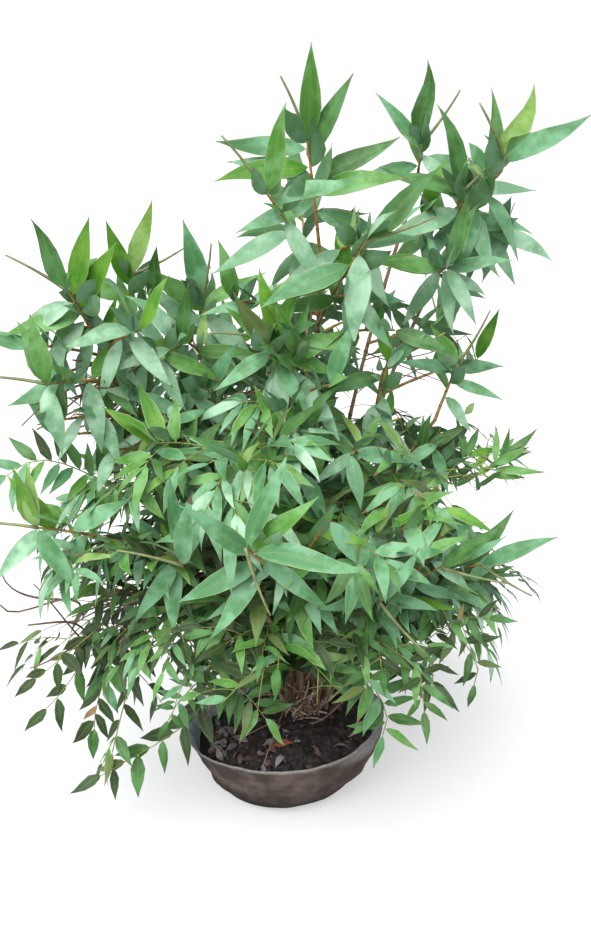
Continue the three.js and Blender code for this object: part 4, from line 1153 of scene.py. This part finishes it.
# %% Single fronds
FRONDS = [
    ("front_left_skirt", 0.3, ((-108, -165, 297), (-66, -185, 270), (-29, -195, 228)), 56, 8, "frond"),
    ("front_left_skirt", 0.35, ((-126, -160, 254), (-146, -168, 234), (-160, -170, 208)), 40, 11, "frond"),
    ("front_right_skirt", 0.4, ((86, -165, 312), (116, -190, 268), (127, -200, 205)), 62, 9, "frond"),
    ("left_skirt", 0.3, ((-271, -100, 301), (-313, -110, 268), (-347, -120, 242)), 46, 17, "dusk"),
    ("left_skirt", 0.3, ((-271, -95, 285), (-299, -120, 242), (-334, -130, 201)), 56, 20, "dusk"),
    ("left_low", 0.8, ((-149, -130, 169), (-201, -160, 149), (-255, -175, 123)), 58, 21, "dusk"),
    ("left_skirt", 0.2, ((-250, -80, 250), (-263, -100, 214), (-275, -110, 155)), 60, 12, "dusk"),
    ("right_skirt", 0.3, ((194, -120, 304), (240, -150, 353), (264, -160, 356)), 46, 14, "low"),
    ("right_skirt", 0.2, ((181, -120, 289), (195, -140, 277), (182, -150, 229)), 48, 14, "low"),
    ("right_skirt", 0.3, ((230, -120, 312), (247, -130, 295), (258, -130, 240)), 50, 17, "low"),
    ("left_heart", 0.4, ((-243, -100, 528), (-308, -140, 569), (-347, -160, 556)), 58, 10, "middle"),
    ("left_heart", 0.2, ((-135, -120, 559), (-71, -130, 568), (-8, -140, 573)), 50, 9, "middle"),
]
FROND_TWIG, FROND_LEAVES_FROM, FROND_FACE = (1.2 * MM, 0.6 * MM), 0.3, unit(FRONT * 0.75 + UP * 0.6)
for parent, at, points, leaf, step, zone in FRONDS:
    start = spot(stems.get(parent, cane_lines.get(parent)), at)
    line = through([start, *np.array(points) * MM])
    add_twig("green", line, *FROND_TWIG)
    add_comb(line, FROND_FACE, leaf * MM, zone, FROND_LEAVES_FROM, step * MM)
print("fronds", len(FRONDS))

# %% [markdown]
# A bamboo leaf is lance-shaped: it widens fast from a short stalk, is widest a third of the way up, and
# ends in a long point. It is folded a little along its middle, arches, and twists. All leaves of one build
# are made in one go, from arrays of roots, ways and lengths.

# %% Leaves: their shape
LARGE_PLACES = np.array([0, 0.03, 0.05, 0.1, 0.2, 0.36, 0.54, 0.72, 0.87, 0.95, 1])
SMALL_PLACES = np.array([0, 0.04, 0.12, 0.32, 0.6, 0.86, 1])
LARGE_ACROSS = np.array([-1, -0.94, 0, 0.94, 1])
SMALL_ACROSS = np.array([-1, -0.9, 0, 0.9, 1])
LITTER_ACROSS = np.array([-1, 0, 1])
BLADE, UNDER, STALK, TIP, MARGIN = range(5)
STALK_END, STALK_WIDE, LEAF_THICK = 0.03, 0.035, 0.5 * MM
BULGE_POWER, BLADE_POWER, FOLD_POWER, FOLD_FLATTENS = 0.66, 1.1, 1.4, 0.6
ARCH, BOW, TWIST = (0.05, 0.03), (0, 0.018), (0, 0.3)  # the mean and the scatter of each
FOLD, WIDTHS = (0.08, 0.34), (0.86, 1.14)  # the least and the most of each


def leaf_outline(s):
    """Half width from 0 to 1: a thin stalk for the first 3 %, then a sine bulge pulled towards the root."""
    blade = np.clip((s - STALK_END) / (1 - STALK_END), 0, 1)
    return np.clip(np.sin(np.pi * blade**BULGE_POWER) ** BLADE_POWER, STALK_WIDE, 1)


def leaf_bodies(rows, places, across, wide, chance, curl=1.0):
    """Rings of an upper and an under side along a middle line. At share s of the way it arches as s (1 - s),
    bows as a sine and twists evenly, and the blade folds up by a power of the way out to the margin."""
    rows = np.array(rows)
    root, way, face, length = rows[:, ROOT], rows[:, WAY], rows[:, FACE], rows[:, LENGTH]
    one = (len(rows), 1, 1)
    side_way, normal_way = np.cross(way, face), np.cross(np.cross(way, face), way)
    arch = chance.normal(*ARCH, one) * curl
    bow = chance.normal(*BOW, one)
    fold = chance.uniform(*FOLD, one)
    twist = chance.normal(*TWIST, one) * curl
    width = np.reshape(wide, (-1, 1, 1)) * chance.uniform(*WIDTHS, one) * length[:, None, None] / 2
    s = places[None, :, None]
    u = np.concatenate([across, across[-2:0:-1]])[None, None]
    over = np.concatenate([np.ones(len(across)), -np.ones(len(across) - 2)])[None, None]
    half = width * leaf_outline(s)
    lift = fold * half * np.abs(u) ** FOLD_POWER * (1 - FOLD_FLATTENS * s)
    lift = lift + over * LEAF_THICK / 2 * (1 - u * u)
    turn = twist * s
    aside = u * half * np.cos(turn) - lift * np.sin(turn)
    aloft = u * half * np.sin(turn) + lift * np.cos(turn)
    size = length[:, None, None]
    aside = aside + size * bow * np.sin(2 * np.pi * s)
    aloft = aloft + size * arch * 4 * s * (1 - s)
    ahead = np.broadcast_to(size * s, aside.shape)
    frame_of = (way[:, None, None], side_way[:, None, None], normal_way[:, None, None])
    rings = root[:, None, None] + sum(a[..., None] * b for a, b in zip((ahead, aside, aloft), frame_of))
    return rings, np.stack(np.broadcast_arrays((u + 1) / 2, s), -1)


def leaf_numbers(places, across, brown):
    """Each face's finish: the under side, then margins, a golden stalk, and a brown tip of chance size."""
    k = 2 * (len(across) - 1)
    numbers = np.full((len(brown), len(places) - 1, k), BLADE)
    numbers[:, :, k // 2 :] = UNDER
    numbers[:, 2:, [0, k // 2 - 1, k // 2, k - 1]] = MARGIN
    numbers[:, :1] = STALK
    numbers[places[:-1] >= 1 - brown[:, None]] = TIP
    return numbers


print("outline", np.round(leaf_outline(np.linspace(0, 1, 6)), 2))

# %% [markdown]
# Seen close, a leaf has fine parallel veins, faint stripes, a pale midrib and a waxy bloom, whose pale blue
# patches also paint the sky's reflection on it. The veins are a bump across the leaf, read from its own UV
# map.
# What has a place of its own is not painted: the stalk, the margins, the brown tip and the pale under side
# are faces with finishes of their own.


# %% Leaves: the finish
VEINS, VEIN_DEPTH, STRIPES = 22, 0.0002, (20, 0.7)
MIDRIB = 0.035  # half the midrib, as a share of the leaf's width
SHEEN = {"Sheen Weight": 0.1, "Sheen Roughness": 0.4, "Sheen Tint": (0.75, 1.0, 0.9, 1.0)}
leaf_skin, given = new_group("leaf_skin", Tint="Color", Bloom="Color", Streak="Color")
tint, bloom, streak = given["Tint"], given["Bloom"], given["Streak"]
# The bloom's patches are the waxy bloom with the sky's reflection painted in.
waxy = place_group(leaf_skin, patches, Base=tint, Patch=bloom, Scale=24, Amount=1.0, Grain=200)
uv, wide, _ = surface_map(leaf_skin)
stripes = noise(leaf_skin, stretched(leaf_skin, uv, *STRIPES), 1.0, 2.0)
striped = blend_colours(leaf_skin, ramp(leaf_skin, stripes, 0.45, 0.68, 0.0, 0.32), waxy["Color"], streak)
off = maths(leaf_skin, "ABSOLUTE", maths(leaf_skin, "SUBTRACT", wide, 0.5))
rib = ramp(leaf_skin, off, 0.0, MIDRIB, 0.55, 0.0)
ridge = maths(leaf_skin, "SINE", maths(leaf_skin, "MULTIPLY", wide, VEINS * 2 * np.pi))
ribbed = blend_colours(leaf_skin, rib, striped, streak)
add(leaf_skin, "NodeGroupOutput", {"Color": ribbed, "Height": ridge})


def leaf_finish(name, tint, bloom, streak=None, roughness=0.4):
    """A tint with a waxy bloom that also paints the sky's reflection, faint stripes and veins, satin,
    with a pale sheen where it is seen aslant.
    """
    material, tree, shader = new_material(name, roughness, 0.4)
    for key, value in SHEEN.items():
        shader.inputs[key].default_value = value
    coat = place_group(tree, leaf_skin, Tint=tint, Bloom=bloom, Streak=streak or bloom)
    dress(tree, shader, coat, VEIN_DEPTH, 0.35)
    return material


UNDER_LOOK = leaf_finish("pale_under_side", colour(100, 146, 90), colour(126, 170, 132), None, 0.6)
MARGIN_LOOK = leaf_finish("pale_margin", colour(136, 164, 104), colour(150, 160, 118))
DULL_MARGIN_LOOK = leaf_finish("dull_margin", colour(70, 98, 50), colour(88, 108, 62))
TIP_LOOK = leaf_finish("brown_tip", colour(128, 104, 76), colour(92, 70, 54), None, 0.6)
STALK_LOOK = leaf_finish("golden_stalk", colour(186, 170, 92), colour(160, 140, 70))
print("group", leaf_skin.name)

# %% [markdown]
# No two leaves have quite the same green. Each is dealt one of nine tints, like cards, and every zone has
# its own pack, which paints light and shade: blue and pale green in the light, and dark green near the
# ground and inside the plant as painted shade. Leaves that grow close together get like cards, as the
# leaves of one spray are of one age. Hanging leaves get the pale cards as a painted reflection of the sky,
# and upright ones, with the light behind them, get the bright ones as painted light shining through.

# %% Leaves: the tints of each zone
# The second colour of each green tint is paler and bluer: the waxy bloom, with the sky's reflection painted
# into it.
TINTS = {
    "pale": (colour(108, 160, 120), colour(168, 210, 178)),
    "blue": (colour(68, 128, 80), colour(118, 176, 134)),
    "mid": (colour(68, 130, 38), colour(112, 168, 100)),
    "deep": (colour(40, 92, 30), colour(76, 132, 72)),
    "bright": (colour(58, 126, 10), colour(102, 158, 44)),
    "lime": (colour(104, 150, 46), colour(148, 186, 110)),
    "olive": (colour(80, 100, 44), colour(102, 128, 76)),
    "dark": (colour(23, 47, 18), colour(40, 74, 36)),
    "dry": (colour(164, 130, 94), colour(130, 98, 74)),
}
# The darker tints stand for painted shade, and their margins are dulled to match. Dry leaves are dull of
# their own.
DULL = {"deep", "olive", "dark", "dry"}  # these have a duller margin
STRAW, STRAW_SHARE = colour(196, 206, 110), 0.4
# Each zone's pack paints light and shade: dark and deep greens low down and inside the plant are painted
# shade, pale ones are a painted sky reflection, and bright ones are painted light through the leaf.
SHARES = {
    "high": (0.22, 0.26, 0.26, 0.11, 0.09, 0.04, 0.02, 0, 0),
    "sunlit": (0.18, 0.19, 0.33, 0.11, 0.13, 0.06, 0, 0, 0),
    "star": (0.04, 0.64, 0.18, 0.14, 0, 0, 0, 0, 0),
    "middle": (0.13, 0.38, 0.22, 0.15, 0.04, 0.03, 0.02, 0.03, 0),
    "low": (0.01, 0.09, 0.13, 0.32, 0, 0.01, 0.07, 0.36, 0.01),
    "dusk": (0, 0.01, 0.03, 0.2, 0, 0, 0.07, 0.68, 0.01),
    "inner": (0.06, 0.18, 0.19, 0.26, 0.04, 0.02, 0.05, 0.18, 0.02),
    "fringe": (0.05, 0.2, 0.36, 0.18, 0.03, 0.08, 0.06, 0.01, 0.03),
    "frond": (0, 0.22, 0.16, 0.44, 0, 0.02, 0.06, 0.1, 0),
}
CLUSTER, CLUSTER_MIX, RISE_MIX = 70 * MM, 0.7, 1.1
deal = np.random.default_rng(99)
dealt = {}
ladder = np.cumsum([SHARES[zone] for zone in ZONES], 1)
ladder /= ladder[:, -1:]
for size, rows in leaf_rows.items():
    rows = np.array(rows)
    zone = rows[:, ZONE].astype(int)
    alike = plane_waves(rows[:, ROOT], CLUSTER, 31) + CLUSTER_MIX * deal.normal(size=len(rows))
    # Hanging leaves draw low cards, the pale ones that paint the sky's reflection.
    alike += RISE_MIX * rows[:, RISE]
    card = np.zeros(len(rows))
    for number in np.unique(zone):
        here = zone == number
        card[here] = (alike[here].argsort().argsort() + 0.5) / here.sum()
    dealt[size] = (card[:, None] > ladder[zone]).sum(1).clip(0, len(TINTS) - 1)
    print(size, "leaves of each tint", np.bincount(dealt[size], minlength=len(TINTS)).tolist())

# %% [markdown]
# Now each tint's leaves become one mesh. Stars have slim leaves and shaded ones are broad. Some leaves have
# dried at the tip, most of them at the edge of the plant on the right, and dry leaves have shrunk.

# %% Leaves: making the meshes
BUILDS = {
    "large": (LARGE_PLACES, LARGE_ACROSS, 0.268),
    "small": (SMALL_PLACES, SMALL_ACROSS, 0.272),
}
SLIM = {"star": 0.8, "high": 0.97, "dusk": 1.2, "fringe": 0.84}
BROWN_TIPS = {"high": 0.25, "star": 0.3, "low": 0.3, "dusk": 0.25, "fringe": 0.85, "frond": 0.5}
FEW_BROWN, TIP_BROWN, WORN_BROWN, DRY_SHRINK = 0.2, (0.04, 0.13), 0.24, 0.62
for number, (tint, (base, bloom)) in enumerate(TINTS.items()):
    bodies = []
    for size, (places, across, wide) in BUILDS.items():
        rows = np.array([row for row, card in zip(leaf_rows[size], dealt[size]) if card == number])
        if not len(rows):
            continue
        rows[:, LENGTH] *= DRY_SHRINK if tint == "dry" else 1
        zones = [ZONES[int(zone)] for zone in rows[:, ZONE]]
        slim = np.array([SLIM.get(zone, 1) for zone in zones])
        rings, uv = leaf_bodies(rows, places, across, wide * slim, np.random.default_rng(200 + number))
        worn = np.array([BROWN_TIPS.get(zone, FEW_BROWN) for zone in zones])
        tips = deal.random(len(rows)) < worn
        brown = np.where(tips, deal.uniform(*TIP_BROWN, len(rows)) + worn**2 * WORN_BROWN, 0.0)
        sharp = np.isin(np.arange(2 * (len(across) - 1)), [0, len(across) - 1])
        bodies.append(closed(rings, uv, leaf_numbers(places, across, brown), sharp))
    streak = tuple((1 - STRAW_SHARE) * a + STRAW_SHARE * b for a, b in zip(base, STRAW))
    skin = leaf_finish("leaf_" + tint, base, bloom, streak)
    looks = [skin, UNDER_LOOK, STALK_LOOK, TIP_LOOK, DULL_MARGIN_LOOK if tint in DULL else MARGIN_LOOK]
    new_piece("foliage_" + tint, bodies, looks, MASSES)

# %% [markdown]
# Twigs are straw green where they are alive and brown where they aren't. The youngest leaf of a shoot is
# still rolled up like a spear. Each kind is one piece.

# %% Twigs
SHOOT_COLOURS = colour(170, 140, 66), colour(142, 128, 60), colour(186, 134, 70), colour(132, 86, 46)
GOLDEN_STEM = cane_finish("golden_stem", 1, *SHOOT_COLOURS)
new_piece("golden_shoot_stems", shoot_stems, [GOLDEN_STEM], MASSES)
STRAW_GREEN = colour(140, 146, 74), colour(112, 124, 56)
ROLLED_GREEN = colour(140, 148, 96), colour(106, 110, 70)
BARE_BROWN = colour(150, 118, 100), colour(104, 78, 64)
for kind, name, look, colours, roughness, stands_for in (
    ("green", "green_twigs", "straw_green_twig", STRAW_GREEN, 0.5, MASSES),
    ("rolled", "rolled_leaves", "rolled_leaf", ROLLED_GREEN, 0.5, MASSES),
    ("dry", "dry_twigs", "bare_brown_twig", BARE_BROWN, 0.8, ()),
):
    rods = tubes([line for line, _ in twig_rows[kind]], [radii for _, radii in twig_rows[kind]], 4)
    new_piece(name, [rods], [patchy(look, *colours, 60, 0.8, roughness, 500, 0.0002)], stands_for)

# %% [markdown]
# Dry leaves lie on the soil, curled and grey or brown, thickest at the front left, and one has turned
# orange. They come from the same leaf function, with a face that looks up and a strong chance turn.

# %% Litter
LITTER, GATHERED, GREY_ONES, LITTER_WIDE, LITTER_CURL = 104, 60, 48, 0.42, 4
HEAP_AT, HEAP_SPREAD, WIDE_SPREAD = -2.45, 0.55, 1.8
LITTER_OUT, LITTER_LENGTH, LITTER_TILT, LITTER_TURN = (0.14, 0.9), (13, 31), 0.08, 0.35
LITTER_REACH, RIM_SPARE, LITTER_LIES, ORANGE_LIES = 30 * MM, 16 * MM, 1.5 * MM, 4 * MM
ORANGE_AT, ORANGE_OUT, ORANGE_LENGTH = -1.95, 0.6, 30 * MM
LITTER_EDGES = np.array([True, False, True, False])
rng = np.random.default_rng(41)
litter = []
for i in range(LITTER):
    turn = rng.normal(HEAP_AT, HEAP_SPREAD if i < GATHERED else WIDE_SPREAD)
    out = np.sqrt(rng.uniform(*LITTER_OUT))
    root = soil_surface(np.array(turn), np.array(out)) + UP * LITTER_LIES
    aim = rng.uniform(0, 2 * np.pi)
    way = unit([np.cos(aim), np.sin(aim), rng.normal(0, LITTER_TILT)])
    if np.linalg.norm((root + way * LITTER_REACH)[:2]) > BAG_RIM - RIM_SPARE:
        way = way * [-1, -1, 1]
    face = unit(UP + rng.normal(scale=LITTER_TURN, size=3))
    litter.append((*root, *way, *face, rng.uniform(*LITTER_LENGTH) * MM, 0))
orange_root = soil_surface(np.array(ORANGE_AT), np.array(ORANGE_OUT)) + UP * ORANGE_LIES
orange = [(*orange_root, *unit([0.8, -0.1, 0.12]), *unit([0.1, -0.5, 1]), ORANGE_LENGTH, 0)]
GREY_LOOK = "grey_litter", colour(152, 146, 148), colour(104, 88, 86), None, 0.8
BROWN_LOOK = "brown_litter", colour(122, 90, 82), colour(88, 70, 64), None, 0.8
ORANGE_LOOK = "orange_leaf", colour(160, 88, 48), colour(108, 60, 40), None, 0.7
for name, rows, look, seed, curl in (
    ("grey_litter", litter[:GREY_ONES], GREY_LOOK, 5, LITTER_CURL),
    ("brown_litter", litter[GREY_ONES:], BROWN_LOOK, 5, LITTER_CURL),
    ("orange_dead_leaf", orange, ORANGE_LOOK, 6, 1),
):
    chance = np.random.default_rng(seed)
    rings, uv = leaf_bodies(rows, SMALL_PLACES, LITTER_ACROSS, LITTER_WIDE, chance, curl)
    new_piece(name, [closed(rings, uv, None, LITTER_EDGES)], [leaf_finish(*look)])

# %% [markdown]
# The plant stands on a plain light table under soft light from all round, as on an overcast day, with a
# little more from above and the left, so that leaves on top are lit and the heart of the plant stays dark.
# The table glows faintly to the camera, which keeps its shadow light, and throws less light up under the
# leaves.

# %% Floor and light
TABLE_GLOW, TABLE_BOUNCE, FLOOR_HALF = 0.45, colour(186, 186, 186), 30.0
WHITE, PAPER, SHADED_PAPER = (1, 1, 1, 1), colour(246, 246, 246), colour(243, 243, 243)
SKY, SKY_STRENGTH = (0.93, 0.97, 1.0, 1), 0.68
SUN_STRENGTH, SUN_SIZE, SUN_TURN = 4.15, np.radians(60), (np.radians(32), np.radians(-18), 0)


def show_camera(tree, output, seen, otherwise):
    """The camera sees one shader, and all other light meets the other."""
    ray = add(tree, "ShaderNodeLightPath").outputs["Is Camera Ray"]
    either = add(tree, "ShaderNodeMixShader", {0: ray, 1: otherwise.outputs[0], 2: seen.outputs[0]})
    tree.links.new(either.outputs[0], tree.nodes[output].inputs["Surface"])


floor_look = patchy("light_table", PAPER, SHADED_PAPER, 2, 0.5, 0.95, 40, 0.0001)
tree = floor_look.node_tree
glow = add(tree, "ShaderNodeEmission", {"Color": WHITE, "Strength": 1.0})
lit = tree.nodes["Principled BSDF"].outputs[0]
table = add(tree, "ShaderNodeMixShader", {0: TABLE_GLOW, 1: lit, 2: glow.outputs[0]})
show_camera(tree, "Material Output", table, add(tree, "ShaderNodeBsdfDiffuse", {"Color": TABLE_BOUNCE}))
corners = np.array([[-1, -1, 0], [1, -1, 0], [1, 1, 0], [-1, 1, 0]]) * FLOOR_HALF
floor_mesh = bpy.data.meshes.new("floor")
floor_mesh.from_pydata(corners.tolist(), [], [(0, 1, 2, 3)])
floor_mesh.materials.append(floor_look)
floor = bpy.data.objects.new("floor", floor_mesh)
bpy.context.scene.collection.objects.link(floor)
world = bpy.data.worlds.new("overcast")
world.use_nodes = True
bpy.context.scene.world = world
sky = world.node_tree
overcast = sky.nodes["Background"]
overcast.inputs["Color"].default_value = SKY
overcast.inputs["Strength"].default_value = SKY_STRENGTH
paper = add(sky, "ShaderNodeBackground", {"Color": WHITE, "Strength": 1.0})
show_camera(sky, "World Output", paper, overcast)
sun_data = bpy.data.lights.new("soft_sun", "SUN")
sun_data.energy = SUN_STRENGTH
sun_data.angle = SUN_SIZE
sun = bpy.data.objects.new("soft_sun", sun_data)
sun.rotation_euler = SUN_TURN
bpy.context.scene.collection.objects.link(sun)
bpy.context.scene.view_settings.view_transform = "Standard"
print("sky", SKY_STRENGTH, "sun", SUN_STRENGTH)
